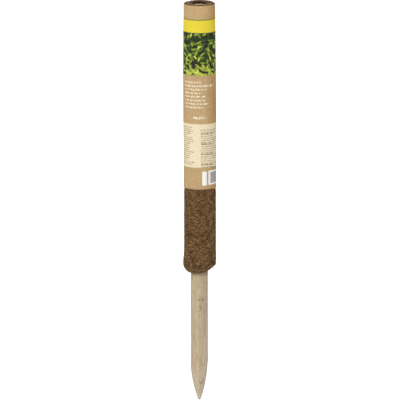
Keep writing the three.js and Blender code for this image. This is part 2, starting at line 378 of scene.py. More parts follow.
def make_patch() -> None:
    """A mask that is 1 inside a rectangle with slightly soft edges, in millimetres."""
    soft = 0.35
    effect = Effect("Patch", ["mask"], x=0.0, y=0.0, left=0.0, right=1.0, bottom=0.0, top=1.0)
    given = effect.given

    def inside(value: Value, low: Value, high: Value) -> Value:
        """Is 1 between two limits."""
        nearest = effect.math("MINIMUM", (value - low) / soft, (high - value) / soft)
        return (nearest + 0.5).clamped()

    effect.give(inside(given.x, given.left, given.right) * inside(given.y, given.bottom, given.top))


def make_word_lines() -> None:
    """A block of blind text: rows of words made of uneven ticks, with ragged ends, which spell nothing."""
    effect = Effect("Word lines", ["mask"], x=0.0, y=0.0, left=0.0, right=30.0, top=0.0, pitch=3.0, rows=5.0,
                    height=0.5, word=6.0, tick=1.0, ragged=0.4, seed=0.0)
    given = effect.given
    row = (given.top - given.y) / given.pitch
    seeded = effect.math("FLOOR", row) + given.seed
    chance = effect.value("TexWhiteNoise", {"W": seeded}, "Value", noise_dimensions="1D")
    from_left = given.x - given.left
    width = (given.right - given.left) * (1.0 - chance * given.ragged)
    in_row = effect.math("GREATER_THAN", from_left, 0.0) * effect.math("LESS_THAN", from_left, width)
    in_block = effect.math("GREATER_THAN", row, 0.0) * effect.math("LESS_THAN", row, given.rows)
    tick = from_left / given.tick
    cell = effect.join(effect.math("FLOOR", tick), seeded)
    tall, wide, deep = effect.value("TexWhiteNoise", {"Vector": cell}, "Color", noise_dimensions="2D").split()
    half = given.height * 0.5
    down = effect.math("FRACT", row) - 0.5
    above = down + half * tall.rise(0.55, 0.75, 0.55, 1.0)
    below = half * deep.rise(0.8, 0.9, 0.55, 1.0) - down
    bar = effect.math("MINIMUM", above, below).rise(-0.05, 0.05)
    stem = (wide.rise(0.0, 1.0, 0.45, 0.9) - effect.math("FRACT", tick)).rise(-0.06, 0.06)
    place = from_left / given.word + seeded * 17.3
    gap = effect.value("TexVoronoi", {"W": place, "Scale": 1.0}, "Distance", voronoi_dimensions="1D",
                       feature="DISTANCE_TO_EDGE")
    effect.give(in_row * in_block * bar * stem * gap.rise(0.06, 0.11))


def make_leaf_layer() -> None:
    """A layer of scattered leaves, each turned its own way, with a midrib and side veins."""
    effect = Effect("Leaf layer", ["mask", "shade", "chance"], x=0.0, y=0.0, scale=10.0, seed=0.0,
                    length=0.55, width=0.2, share=1.0)
    given = effect.given
    place = effect.join(given.x / given.scale + given.seed, given.y / given.scale + given.seed)
    cells = effect.add("TexVoronoi", {"Vector": place, "Scale": 1.0, "Randomness": 0.9},
                       voronoi_dimensions="2D", feature="F1").outputs
    turn, chance, grown = Value(effect, cells["Color"]).split()
    from_middle = effect.vector("SUBTRACT", place, Value(effect, cells["Position"]))
    turned = effect.value("VectorRotate", {"Vector": from_middle, "Angle": turn * FULL_TURN},
                          rotation_type="Z_AXIS")
    along, across, _ = turned.split()
    bent = across - along * along * 0.35
    side = effect.math("ABSOLUTE", bent)
    reach = along / given.length
    margin = given.width * (1.0 - reach * reach) - side
    mask = effect.math("LESS_THAN", grown, given.share) * margin.rise(0.0, 0.03)
    half = bent.rise(-0.01, 0.01, 0.35, 0.75)
    rib = side.rise(0.022, 0.008, 0.0, 0.35)
    vein = effect.math("SINE", (along - side) * 26.0) * 0.12
    effect.give(mask, (half + rib + vein).clamped(), chance)


# Finishes


class Finish:
    """A material with one Principled shader. Each finish wires its own colour, roughness and bump."""

    name = "finish"

    def __init__(self) -> None:
        """Makes the material and lets the finish wire it."""
        self.material = bpy.data.materials.new(self.name)
        self.material.use_nodes = True
        self.graph = Graph(self.material.node_tree)
        self.shader = self.graph.add("BsdfPrincipled")
        self.graph.add("OutputMaterial", {"Surface": Value(self.graph, self.shader.outputs[0])})
        self.place = self.graph.value("TexCoord", output="Object")
        self.wire()

    def wire(self) -> None:
        """Wires the nodes of this finish."""
        raise NotImplementedError

    def streaks(self, stretch: Triple, warp: float = 0.0, low: float = 0.3, high: float = 0.7) -> Value:
        """Long thin streaks, drawn out by a stretch along each axis and sharpened between two levels."""
        return self.graph.effect("Fibre streaks", vector=self.place, stretch=stretch, warp=warp, low=low,
                                 high=high)[0]

    def mottle(self, scale: float, detail: float = 3.0, low: float = 0.35, high: float = 0.65) -> Value:
        """Cloudy patches of a scale, sharpened between two levels."""
        return self.graph.effect("Mottle", vector=self.place, scale=scale, detail=detail, low=low,
                                 high=high)[0]

    def hollow(self) -> Value:
        """The mask of painted shade next to the stake."""
        return self.graph.effect("Hollow", vector=self.place)[0]

    def coats(self, colour: Value, *layers: tuple[Value, Triple]) -> Value:
        """Lays coats of colour over each other.

        Args:
            colour: The colour below.
            layers: How much of each coat shows, and its screen colour.

        Returns:
            The colour with its coats.
        """
        for share, coat in layers:
            colour = self.graph.mix(share, colour, rgb(*coat))
        return colour

    def surface(self, colour: Feed, roughness: Feed, specular: float = 0.5, **others: Feed) -> None:
        """Sets the shader's colour, roughness and shine, and other inputs by their names."""
        self.graph.feed(self.shader, {"Base Color": colour, "Roughness": roughness,
                                      "Specular IOR Level": specular, **others})

    def bump(self, height: Value, distance: float, strength: float = 1.0) -> None:
        """Raises the surface, by a distance in metres where the height is 1."""
        inputs = {"Height": height, "Distance": distance, "Strength": strength}
        self.graph.feed(self.shader, {"Normal": self.graph.value("Bump", inputs)})


class StakeWood(Finish):
    """Pale softwood: growth rings about a distant pith, fine grain, a cracked knot, a groove and a chip."""

    name = "stake_wood"
    pith = (52 * MM, 34 * MM)
    ring_pitch = 2.9 * MM
    ring_wander = 4.5 * MM
    knot_place = (2.7 * MM, 154.0 * MM)
    knot_size = (5.4 * MM, 4.2 * MM)
    knot_push = 2.4 * MM
    crack_wave = 5.2 * MM
    crack_swing = 0.85 * MM
    crack_stray = 3.0 * MM
    crack_width = 0.75 * MM
    groove_place = (1.6 * MM, 142.0 * MM)
    groove_size = (0.9 * MM, 5.4 * MM)
    groove_slant = 0.2
    chip_place = (2.2 * MM, 31.0 * MM)
    chip_size = (3.2 * MM, 4.4 * MM)
    chip_shade = (-2.0 * MM, 3.0 * MM)
    # Half width of the painted side light across the stake
    half_width = 11 * MM
    cut_top = 56 * MM
    cut_fade = 16 * MM
    tip_length = 18 * MM
    sawn_depth = 0.5 * MM
    # How far below the coir the painted shadow reaches
    rub_length = 6 * MM
    front_edge = 1.0 * MM
    relief = 0.16 * MM

    def spot(self, where: Sequence[Value], place: Pair, size: Pair) -> Value:
        """Distance from the middle of a mark on the front of the stake.

        Args:
            where: X, Y and Z on the stake.
            place: X and Z of the mark's middle.
            size: Its half width and half height.

        Returns:
            The distance, 1 at the mark's rim and far away at the back of the stake.
        """
        x, y, z = where
        across, along = (x - place[0]) / size[0], (z - place[1]) / size[1]
        reach = self.graph.math("SQRT", across * across + along * along)
        return reach + y.rise(0.0, self.front_edge, 0.0, 9.0)

    def late_wood(self, x: Value, y: Value, knot: Value) -> Value:
        """Wires the dark part of the growth rings, which bend round the knot.

        Args:
            x: X on the stake.
            y: Y on the stake.
            knot: Distance from the knot's middle.

        Returns:
            1 in the late wood and 0 in the early wood.
        """
        graph = self.graph
        slow = self.streaks((70, 70, 9), 0.0, 0.2, 0.8)
        from_pith = graph.vector("SUBTRACT", graph.join(x, y), (*self.pith, 0.0))
        reach = graph.vector("LENGTH", from_pith, output="Value") + knot.rise(2.6, 0.4, 0.0, self.knot_push)
        ring = graph.math("FRACT", (reach + slow * self.ring_wander) / self.ring_pitch)
        return ring.rise(0.15, 0.86) * ring.rise(1.0, 0.9)

    def crack(self, x: Value, z: Value) -> Value:
        """Wires a crooked line across the knot.

        Args:
            x: X on the stake.
            z: Z on the stake.

        Returns:
            1 on the line.
        """
        graph = self.graph
        cloud = graph.value("TexNoise", {"Vector": self.place, "Scale": 420.0, "Detail": 3.0})
        swing = graph.math("SINE", x * (FULL_TURN / self.crack_wave)) * self.crack_swing
        line = swing + (cloud - 0.5) * self.crack_stray + self.knot_place[1]
        return graph.math("ABSOLUTE", z - line).rise(self.crack_width, 0.3 * self.crack_width)

    def marks(self, where: Sequence[Value], knot: Value) -> tuple[Value, Value]:
        """Wires the knot's crack, a groove below it and a chip on the point, with a painted shade on the
        chip's lower right rim.

        Args:
            where: X, Y and Z on the stake.
            knot: Distance from the knot's middle.

        Returns:
            How dark the marks are, and how deep.
        """
        graph = self.graph
        x, y, z = where
        ragged = self.mottle(700, 3, 0.4, 0.65)
        broken = self.crack(x, z) * (0.65 + ragged * 0.35)
        scar = knot.rise(1.05, 0.75) * graph.math("MAXIMUM", broken, ragged * 0.2)
        slant = (z - self.groove_place[1]) * self.groove_slant
        groove = self.spot((x + slant, y, z), self.groove_place, self.groove_size)
        groove = groove.rise(1.15, 0.4) * (0.5 + ragged * 0.3)
        chip = self.spot(where, self.chip_place, self.chip_size)
        # Painted shade: the chip's rim is darkened on its lower right side.
        downhill = (x - self.chip_place[0]) - (z - self.chip_place[1])
        edge = chip.rise(0.55, 0.85) * chip.rise(1.2, 0.95) * downhill.rise(*self.chip_shade, 0.0, 0.7)
        dark = graph.math("MAXIMUM", graph.math("MAXIMUM", scar, groove), edge)
        return dark, dark + chip.rise(1.0, 0.7) * 0.5

    def wire(self) -> None:
        """Wires rings, grain, stains, the cut point, the sawn end and the marks, with painted light on the
        sides, the point and the sawn end, and a painted shadow under the coir.
        """
        where = x, y, z = self.place.split()
        knot = self.spot(where, self.knot_place, self.knot_size)
        dark, deep = self.marks(where, knot)
        late = self.late_wood(x, y, knot)
        grain = self.streaks((1300, 1300, 40), 0.5, 0.25, 0.75)
        pores = self.streaks((1500, 1500, 130), 0.0, 0.64, 0.72)
        stain = self.streaks((150, 150, 14), 0.0, 0.25, 0.75)
        bands = self.streaks((380, 380, 16), 0.4, 0.4, 0.62)
        lines = self.streaks((640, 640, 42), 0.4, 0.45, 0.68)
        flecks = self.streaks((520, 520, 210), 0.3, 0.42, 0.7)
        checks = self.streaks((420, 420, 17), 0.8, 0.735, 0.765)
        saw_marks = self.streaks((2100, 170, 1), 0.2)
        # The cut point is paler: partly fresh-cut wood, partly painted light from below.
        fresh_and_lit_point = z.rise(self.cut_top, self.cut_top - self.cut_fade)
        bruised = z.rise(self.tip_length, 0.1 * self.tip_length)
        # Painted shadow: the stake is darkened for a short way below the coir's lower end.
        coir_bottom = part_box("coir_mat")[0].z
        painted_coir_shadow = z.rise(coir_bottom - self.rub_length, coir_bottom, 0.0, 0.6)
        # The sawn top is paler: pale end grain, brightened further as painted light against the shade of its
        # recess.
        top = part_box("wooden_stake")[1].z
        sawn = z.rise(top - 2 * self.sawn_depth, top - self.sawn_depth)
        # Painted light: the stake turns paler and greyer towards both sides across X, mixed with real stain
        # streaks.
        side_light_and_stain = x.rise(-self.half_width, self.half_width) * 0.56 + stain * 0.44
        colour = self.coats(
            side_light_and_stain.ramp((0.08, (225, 212, 186)), (0.32, (217, 202, 166)), (0.5, (209, 185, 152)),
                     (0.68, (209, 191, 163)), (0.92, (229, 218, 199))),
            (late * 0.12, (158, 132, 96)),
            (grain * 0.3, (166, 145, 112)),
            (bands * 0.26, (170, 145, 110)),
            (lines * 0.56, (154, 130, 98)),
            (pores * 0.55, (124, 100, 70)),
            (flecks * 0.42, (152, 134, 106)),
            (fresh_and_lit_point * 0.3, (220, 206, 178)),
            (bruised * 0.42, (222, 215, 200)),
            (painted_coir_shadow, (122, 96, 68)),
            (sawn * 0.6, (248, 230, 192)),
            (sawn * late * 0.5, (178, 146, 102)),
            (sawn * saw_marks * 0.3, (186, 160, 120)),
            (knot.rise(1.5, 0.2, 0.0, 0.22), (172, 138, 98)),
            (dark * 0.92, (98, 74, 48)),
            (checks * 0.6, (108, 84, 58)),
        )
        self.surface(colour, grain.rise(0.0, 1.0, 0.62, 0.82), 0.3)
        self.bump((late * 0.35 - grain * 0.4) - (checks * 1.6 + deep * 1.5), self.relief, 0.8)


class CoirMatting(Finish):
    """The felted body of the mat, seen only in the gaps between its fibres."""

    name = "coir_matting"
    relief = 0.7 * MM

    def wire(self) -> None:
        """Wires tangled streaks over dark brown, darkened next to the stake by painted shade."""
        tangle = self.streaks((520, 520, 520), 2.4)
        colour = tangle.ramp((0.0, (68, 49, 31)), (0.55, (114, 83, 51)), (1.0, (152, 117, 76)))
        # Painted shade: the matting is darkened next to the stake, in the bore and at the lower lip.
        colour = self.coats(colour, (self.mottle(140) * 0.2, (92, 68, 43)),
                            (self.hollow() * 0.7, (34, 22, 12)))
        self.surface(colour, 0.95, 0.15)
        self.bump(tangle, self.relief)


class CoirFibre(Finish):
    """Single fibres, from dark brown to straw, each with its own shade."""

    name = "coir_fibre"

    def wire(self) -> None:
        """Wires each fibre's own shade and the dust along it, darkened next to the stake by painted shade."""
        shade = self.graph.value("Attribute", output="Fac", attribute_name="shade")
        tone = (shade + (self.mottle(420, 2, 0.3, 0.7) * 0.2 - 0.1)).clamped()
        colour = tone.ramp((0.0, (65, 45, 26)), (0.3, (115, 82, 48)), (0.58, (152, 116, 72)),
                           (0.82, (190, 152, 99)), (1.0, (220, 187, 132)))
        # Painted shade: fibres next to the stake are darkened.
        colour = self.coats(colour, (self.hollow() * 0.55, (40, 27, 15)))
        self.surface(colour, tone.rise(0.0, 1.0, 0.75, 0.55), 0.3)


class NylonThread(Finish):
    """A fine brown nylon thread, dulled by dust from the coir."""

    name = "nylon_thread"

    def wire(self) -> None:
        """Wires a dusty brown."""
        dust = self.mottle(300, 2)
        colour = self.graph.mix(dust, rgb(112, 86, 56), rgb(88, 66, 42))
        self.surface(colour, dust.rise(0.0, 1.0, 0.4, 0.7))


class StapleSteel(Finish):
    """Galvanised staple wire with dull patches."""

    name = "staple_steel"
    relief = 0.02 * MM

    def wire(self) -> None:
        """Wires a patchy grey metal."""
        patches = self.mottle(800)
        colour = self.graph.mix(patches, rgb(196, 196, 194), rgb(164, 166, 168))
        self.surface(colour, patches.rise(0.0, 1.0, 0.3, 0.5), Metallic=1.0)
        self.bump(self.streaks((3000, 3000, 200)), self.relief)


class KraftPaper(Finish):
    """Brown kraft paper with fibres, flecks and faint ribs, and a painted shade that darkens and warms its +X
    side.
    """

    name = "kraft_paper"
    rib_pitch = 1.5 * MM
    # The painted shade: where it rises across X, and the tint that it multiplies in
    shaded_side = (6 * MM, 24 * MM)
    shade = (0.88, 0.7, 0.4)
    relief = 0.05 * MM

    def sheet(self) -> tuple[Value, Value]:
        """Wires the bare sheet, with a painted shade on its +X side.

        Returns:
            Its colour and the height of its fibres.
        """
        graph = self.graph
        x, _, z = self.place.split()
        upright = self.streaks((1300, 1300, 260), 0.6)
        level = self.streaks((230, 230, 1500), 0.6)
        rib = graph.math("SINE", z * (FULL_TURN / self.rib_pitch))
        clouds = self.mottle(55, 4, 0.25, 0.75)
        flecks = self.mottle(1150, 1, 0.7, 0.76)
        grit = self.mottle(600, 6, 0.32, 0.68)
        colour = self.coats(
            graph.mix(clouds, rgb(224, 192, 143), rgb(207, 176, 128)),
            (upright * 0.34, (224, 196, 148)),
            (level * 0.36, (166, 133, 88)),
            (rib * 0.03 + 0.03, (160, 126, 84)),
            (flecks * 0.5, (120, 88, 56)),
            (grit * 0.72, (172, 139, 95)),
        )
        # Painted shade: the sheet turns darker and warmer towards its +X side.
        colour = graph.mix(x.rise(*self.shaded_side, 0.0, 0.6), colour, self.shade, "MULTIPLY")
        return colour, upright * 0.5 + level * 0.5

    def wire(self) -> None:
        """Wires the bare sheet, as it shows inside the sleeve and on its cut edges."""
        colour, height = self.sheet()
        self.surface(colour, 0.85)
        self.bump(height, self.relief)


@dataclass(frozen=True)
class LeafLayer:
    """One layer of printed leaves: its size in millimetres, shape, how thickly it grows, and its colours."""

    scale: float
    seed: float
    length: float
    width: float
    share: float
    dark: Triple
    light: Triple
    brighter_low: float


@dataclass(frozen=True)
class WordBlock:
    """One block of blind text on the sleeve, in millimetres round from the front and up from the tip."""

    left: float
    right: float
    top: float
    pitch: float
    rows: float
    height: float
    word: float
    tick: float
    ragged: float
    seed: float


class PrintedKraft(KraftPaper):
    """The outside of the sleeve: kraft paper with a stripe, a band of leaves, blind text and patches.

    A patch is its left, right, bottom and top, in millimetres round from the front and up from the tip.
    """

    name = "printed_kraft"
    all_round = (-200.0, 200.0)
    leaves = (*all_round, 494.5, 558.0)
    leaves_bright = (516.0, 497.0)
    leaf_layers = (
        LeafLayer(10.0, 1.7, 0.62, 0.24, 1.0, rgb(18, 36, 8), rgb(62, 92, 22), 0.5),
        LeafLayer(11.5, 4.3, 0.6, 0.21, 0.8, rgb(36, 62, 10), rgb(116, 146, 34), 0.65),
        LeafLayer(9.0, 8.9, 0.55, 0.18, 0.6, rgb(84, 114, 16), rgb(180, 198, 52), 0.7),
        LeafLayer(8.0, 12.4, 0.55, 0.18, 0.4, rgb(142, 162, 34), rgb(230, 234, 102), 0.4),
    )
    stripe_rules = (*all_round, 557.9, 578.6)
    stripe = (*all_round, 559.0, 577.5)
    intro = WordBlock(-27.0, 25.0, 487.0, 5.4, 8.0, 0.62, 8.0, 1.5, 0.5, 3.0)
    short_line = WordBlock(-10.6, 8.6, 434.2, 6.4, 1.0, 0.62, 7.5, 2.3, 0.0, 11.0)
    panel = (*all_round, 356.0, 421.5)
    columns = (
        WordBlock(-38.0, -6.0, 418.0, 3.1, 19.0, 0.62, 4.6, 0.8, 0.6, 21.0),
        WordBlock(1.6, 37.0, 414.0, 3.1, 19.0, 0.62, 4.8, 0.8, 0.45, 47.0),
        WordBlock(44.0, 72.0, 414.0, 3.1, 18.0, 0.62, 4.8, 0.8, 0.55, 71.0),
        WordBlock(-74.0, -46.0, 416.0, 3.1, 18.0, 0.62, 4.8, 0.8, 0.55, 93.0),
    )
    headings = WordBlock(1.6, 26.0, 415.0, 15.5, 4.0, 0.15, 9.0, 1.1, 0.3, 5.0)
    labels = ((3.4, 10.6, 329.0, 350.0), (13.5, 48.0, 329.5, 351.0))
    bars = (17.0, 44.5, 332.0, 348.5)
    bar_pitch = 1.45
    bleed = 0.3

    def foliage(self, x: Value, y: Value) -> Value:
        """Wires layers of leaves, from dark shade at the back to bright ones in front.

        Args:
            x: Millimetres round from the front.
            y: Millimetres up from the tip.

        Returns:
            The leaves' colour.
        """
        graph = self.graph
        low = y.rise(*self.leaves_bright)
        colour = graph.mix(self.mottle(60), rgb(8, 15, 5), rgb(30, 48, 14))
        for layer in self.leaf_layers:
            mask, shade, chance = graph.effect("Leaf layer", x=x, y=y, scale=layer.scale, seed=layer.seed,
                                               length=layer.length, width=layer.width, share=layer.share)
            leafy = graph.mix(shade * 0.6 + chance * 0.4, layer.dark, layer.light)
            leafy = graph.mix(low * layer.brighter_low, leafy, rgb(208, 214, 84))
            colour = graph.mix(mask, colour, leafy)
        return colour

    def wire(self) -> None:
        """Wires the print over the bare sheet, thinner where the sheet is worn."""
        graph = self.graph
        colour, height = self.sheet()
        arc = graph.value("Attribute", output="Fac", attribute_name="arc")
        bleed = (self.mottle(1600, 2, 0.2, 0.8) - 0.5) * self.bleed
        x = arc * (1 / MM) + bleed
        y = self.place.split()[2] * (1 / MM) + bleed
        wear = self.mottle(700, 4, 0.28, 0.5)
        solid = 0.87 + wear * 0.13

        def patch(left: float, right: float, bottom: float, top: float) -> Value:
            """A mask for a rectangle."""
            return graph.effect("Patch", x=x, y=y, left=left, right=right, bottom=bottom, top=top)[0]

        def words(block: WordBlock) -> Value:
            """A mask for a block of blind text."""
            return graph.effect("Word lines", x=x, y=y, **asdict(block))[0]

        pale = rgb(252, 242, 220)
        stripes = graph.math("GREATER_THAN", graph.math("SINE", x * (FULL_TURN / self.bar_pitch)), -0.4)
        prints = (
            (patch(*self.leaves), self.foliage(x, y), 1.0),
            (patch(*self.stripe_rules), rgb(72, 104, 44), 1.0),
            (patch(*self.stripe), rgb(237, 216, 54), 1.0),
            (words(self.intro), pale, 0.95),
            (words(self.short_line), pale, 1.0),
            (patch(*self.panel), rgb(246, 230, 195), 0.95),
            *((words(column), rgb(96, 76, 54), 0.9) for column in self.columns),
            (words(self.headings), rgb(58, 44, 30), 0.95),
            *((patch(*label), rgb(252, 251, 246), 1.0) for label in self.labels),
            (patch(*self.bars) * stripes, rgb(58, 60, 66), 1.0),
        )
        for mask, ink, cover in prints:
            colour = graph.mix(mask * solid * cover, colour, ink)
        self.surface(colour, wear.rise(0.0, 1.0, 0.8, 0.62), 0.35)
        self.bump(height, self.relief)


class FloorPaint(Finish):
    """A plain white floor that looks evenly lit and throws little light back on to the pole."""

    name = "floor_paint"
    thrown_back = 0.35
    seen_grey = 0.5
    glow = 0.3
    seen_glow = 0.9

    def wire(self) -> None:
        """Wires a white glow for the camera and a dim one for the rest of the room."""
        seen = self.graph.value("LightPath", output="Is Camera Ray")
        grey = self.graph.mix(seen, (self.thrown_back,) * 3, (self.seen_grey,) * 3)
        glow = seen.rise(0.0, 1.0, self.glow, self.seen_glow)
        self.surface(grey, 1.0, 0.0, **{"Emission Color": (1.0, 1.0, 1.0), "Emission Strength": glow})


# Sizes that the pieces share


@dataclass(frozen=True)
class RollProfile:
    """The outside of the coir roll: slack and rounded below, drawn in by the sleeve above.

    The rounded lower end is full on the left and cut back on the right, and the roll leans to the right.
    """

    bottom: float
    top: float
    sleeve_bottom: float
    end_radius: float
    bore: float
    squeeze: float = 0.9 * MM
    squeeze_length: float = 5 * MM
    taper: float = 0.6 * MM
    swell: float = 0.75 * MM
    swell_length: float = 24 * MM
    end_round: float = 15 * MM
    end_lip: float = 0.8 * MM
    end_inset: float = 0.9 * MM
    end_fullness: float = 1.85
    cut_fullness: float = 1.1
    cut_rise: float = -2.4 * MM
    cut_lift: float = 3.0 * MM
    cut_blend: float = 24 * MM
    lean: float = 0.9 * MM
    lean_bottom: Pair = (0.2, 0.226)
    lean_top: float = 0.56

    @classmethod
    def from_frame(cls) -> RollProfile:
        """Takes the roll's ends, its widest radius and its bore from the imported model.

        Returns:
            The profile.
        """
        low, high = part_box("coir_mat")
        stake_low, stake_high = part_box("wooden_stake")
        gap = 0.3 * MM
        bore = (stake_high.x - stake_low.x) / 2 + gap
        return cls(low.z, high.z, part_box("paper_sleeve")[0].z, (high.x - low.x) / 2, bore)

    @property
    def end_top(self) -> float:
        """Height where the rounded lower end meets the side."""
        return self.bottom + self.end_round

    @staticmethod
    def rightness(angle: Number) -> Number:
        """How far to the right a direction points, from 0 to 1."""
        return (1.0 + np.cos(angle)) / 2

    def up_sleeve(self, z: Number) -> Number:
        """How far up the sleeve a height is, from 0 to 1."""
        return np.clip((z - self.sleeve_bottom) / (self.top - self.sleeve_bottom), 0.0, 1.0)

    def radius(self, z: Number) -> Number:
        """Radius of the roll's side.

        Args:
            z: The height.

        Returns:
            The radius there.
        """
        slack = 1.0 - smooth_rise(z, self.sleeve_bottom - self.squeeze_length, self.sleeve_bottom)
        swell = 1.0 - smooth_rise(z, self.end_top, self.end_top + self.swell_length)
        squeezed = self.end_radius - self.squeeze - self.swell
        return squeezed + self.squeeze * slack + self.swell * swell - self.taper * self.up_sleeve(z)

    def end_height(self, radius: Number, angle: Number) -> Number:
        """Height of the rounded lower end.

        Args:
            radius: Distance from the stake's axis.
            angle: Direction round the axis.

        Returns:
            The height of the end's surface there.
        """
        lip = self.bore + self.end_lip
        reach = np.clip((radius - lip) / (self.end_radius - lip), 0.0, 1.0)
        right = self.rightness(angle)
        fullness = self.end_fullness + (self.cut_fullness - self.end_fullness) * right
        top = self.end_top + self.cut_rise * right ** 2
        drop = top - self.bottom - self.end_inset - self.cut_lift * right ** 2
        return top - drop * (1.0 - reach ** fullness) ** (1.0 / fullness)

    def on_wall(self, z: Number, angle: Number) -> Number:
        """Shifts a height on the side so that the side starts where the rounded end stops."""
        fade = 1.0 - smooth_rise(z, self.end_top, self.end_top + self.cut_blend)
        return z + self.cut_rise * self.rightness(angle) ** 2 * fade

    def offset(self, z: Number) -> Number:
        """How far the roll sits to the right of the stake's axis at a height."""
        settled = smooth_rise(z, *self.lean_bottom)
        return self.lean * settled * (1.0 - smooth_rise(z, self.sleeve_bottom, self.lean_top))

    def points(self, radius: Array, angle: Array, z: Array) -> Array:
        """Points round the roll's own middle."""
        return np.stack([radius * np.cos(angle) + self.offset(z), radius * np.sin(angle), z], axis=-1)


@dataclass(frozen=True)
class MatSpiral:
    """The section of the mat, rolled round the stake from a thin inner edge to a thin outer one."""

    bore: float
    pitch: float = 5.2 * MM
    edge: float = 1.8 * MM
    gap: float = 0.5 * MM
    climb: float = 0.12
    rolled: float = 2 * FULL_TURN
    seam: float = math.radians(112)

    @property
    def last_turn(self) -> float:
        """The angle turned where the last turn starts."""
        return self.rolled - FULL_TURN

    def face(self, turned: Number) -> Number:
        """Outer face of the mat before its last turn."""
        return self.bore + self.edge + self.pitch * turned / FULL_TURN

    def inner(self, turned: Number) -> Number:
        """Inner face of the mat: on the stake at first, then on the turn below."""
        climb = smooth_rise(turned, FULL_TURN - self.climb, FULL_TURN)
        return self.bore + climb * (self.face(np.maximum(0.0, turned - FULL_TURN)) + self.gap - self.bore)

    def angle(self, turned: Number) -> Number:
        """Direction round the axis at an angle turned from the mat's inner edge."""
        return self.seam - self.rolled + turned


# Strands


@dataclass
class StrandMaker:
    """Makes many thin closed strands as one mesh, each bent along its own path."""

    sides: int = 3

    def prism(self, rings: int) -> bpy.types.Mesh:
        """A straight prism of unit radius, with its rings at whole heights.

        Args:
            rings: How many rings it has.

        Returns:
            Its mesh.
        """
        bm = bmesh.new()
        depth = rings - 1.0
        bmesh.ops.create_cone(bm, cap_ends=True, segments=self.sides, radius1=1.0, radius2=1.0, depth=depth)
        bmesh.ops.subdivide_edges(bm, edges=upright_edges(bm), cuts=rings - 2)
        bmesh.ops.translate(bm, vec=(0.0, 0.0, depth / 2), verts=bm.verts)
        return mesh_from("strand", bm)

    def copies(self, mesh: bpy.types.Mesh, count: int) -> bpy.types.Mesh:
        """Repeats a mesh.

        Args:
            mesh: The mesh to repeat.
            count: How many times.

        Returns:
            A new mesh with copy after copy.
        """
        carrier = bpy.data.objects.new("strand_copies", mesh)
        bpy.context.scene.collection.objects.link(carrier)
        array = carrier.modifiers.new("copies", "ARRAY")
        array.count = count
        array.use_relative_offset = False
        array.use_constant_offset = True
        shaped = carrier.evaluated_get(bpy.context.evaluated_depsgraph_get())
        repeated = bpy.data.meshes.new_from_object(shaped)
        bpy.data.objects.remove(carrier)
        return repeated

    def build(self, name: str, paths: Array, outward: Array, radii: Array, shades: Array) -> Piece:
        """Bends one strand along each path.

        Args:
            name: The piece's name.
            paths: Points of each strand, strands by rings by three.
            outward: A direction across the path at each point, of the same shape.
            radii: The radius at each point, strands by rings.
            shades: One shade for each strand.

        Returns:
            The new object, with the shade as an attribute.
        """
        count, rings = radii.shape
        prism = self.prism(rings)
        shape = np.empty(len(prism.vertices) * 3)
        prism.vertices.foreach_get("co", shape)
        shape = shape.reshape(-1, 3)
        ring = np.rint(shape[:, 2]).astype(int)
        along = np.gradient(paths, axis=1)
        along /= np.linalg.norm(along, axis=2, keepdims=True)
        across = np.cross(along, outward)
        across /= np.linalg.norm(across, axis=2, keepdims=True)
        upward = np.cross(across, along)
        corners = paths[:, ring] + radii[:, ring, None] * (
            shape[None, :, 0:1] * upward[:, ring] + shape[None, :, 1:2] * across[:, ring])
        mesh = self.copies(prism, count)
        mesh.name = name
        mesh.vertices.foreach_set("co", corners.astype(np.float32).ravel())
        shade = mesh.attributes.new("shade", "FLOAT", "POINT")
        shade.data.foreach_set("value", np.repeat(shades, len(shape)).astype(np.float32))
        mesh.update()
        return add_object(name, mesh)


# Sub-assemblies


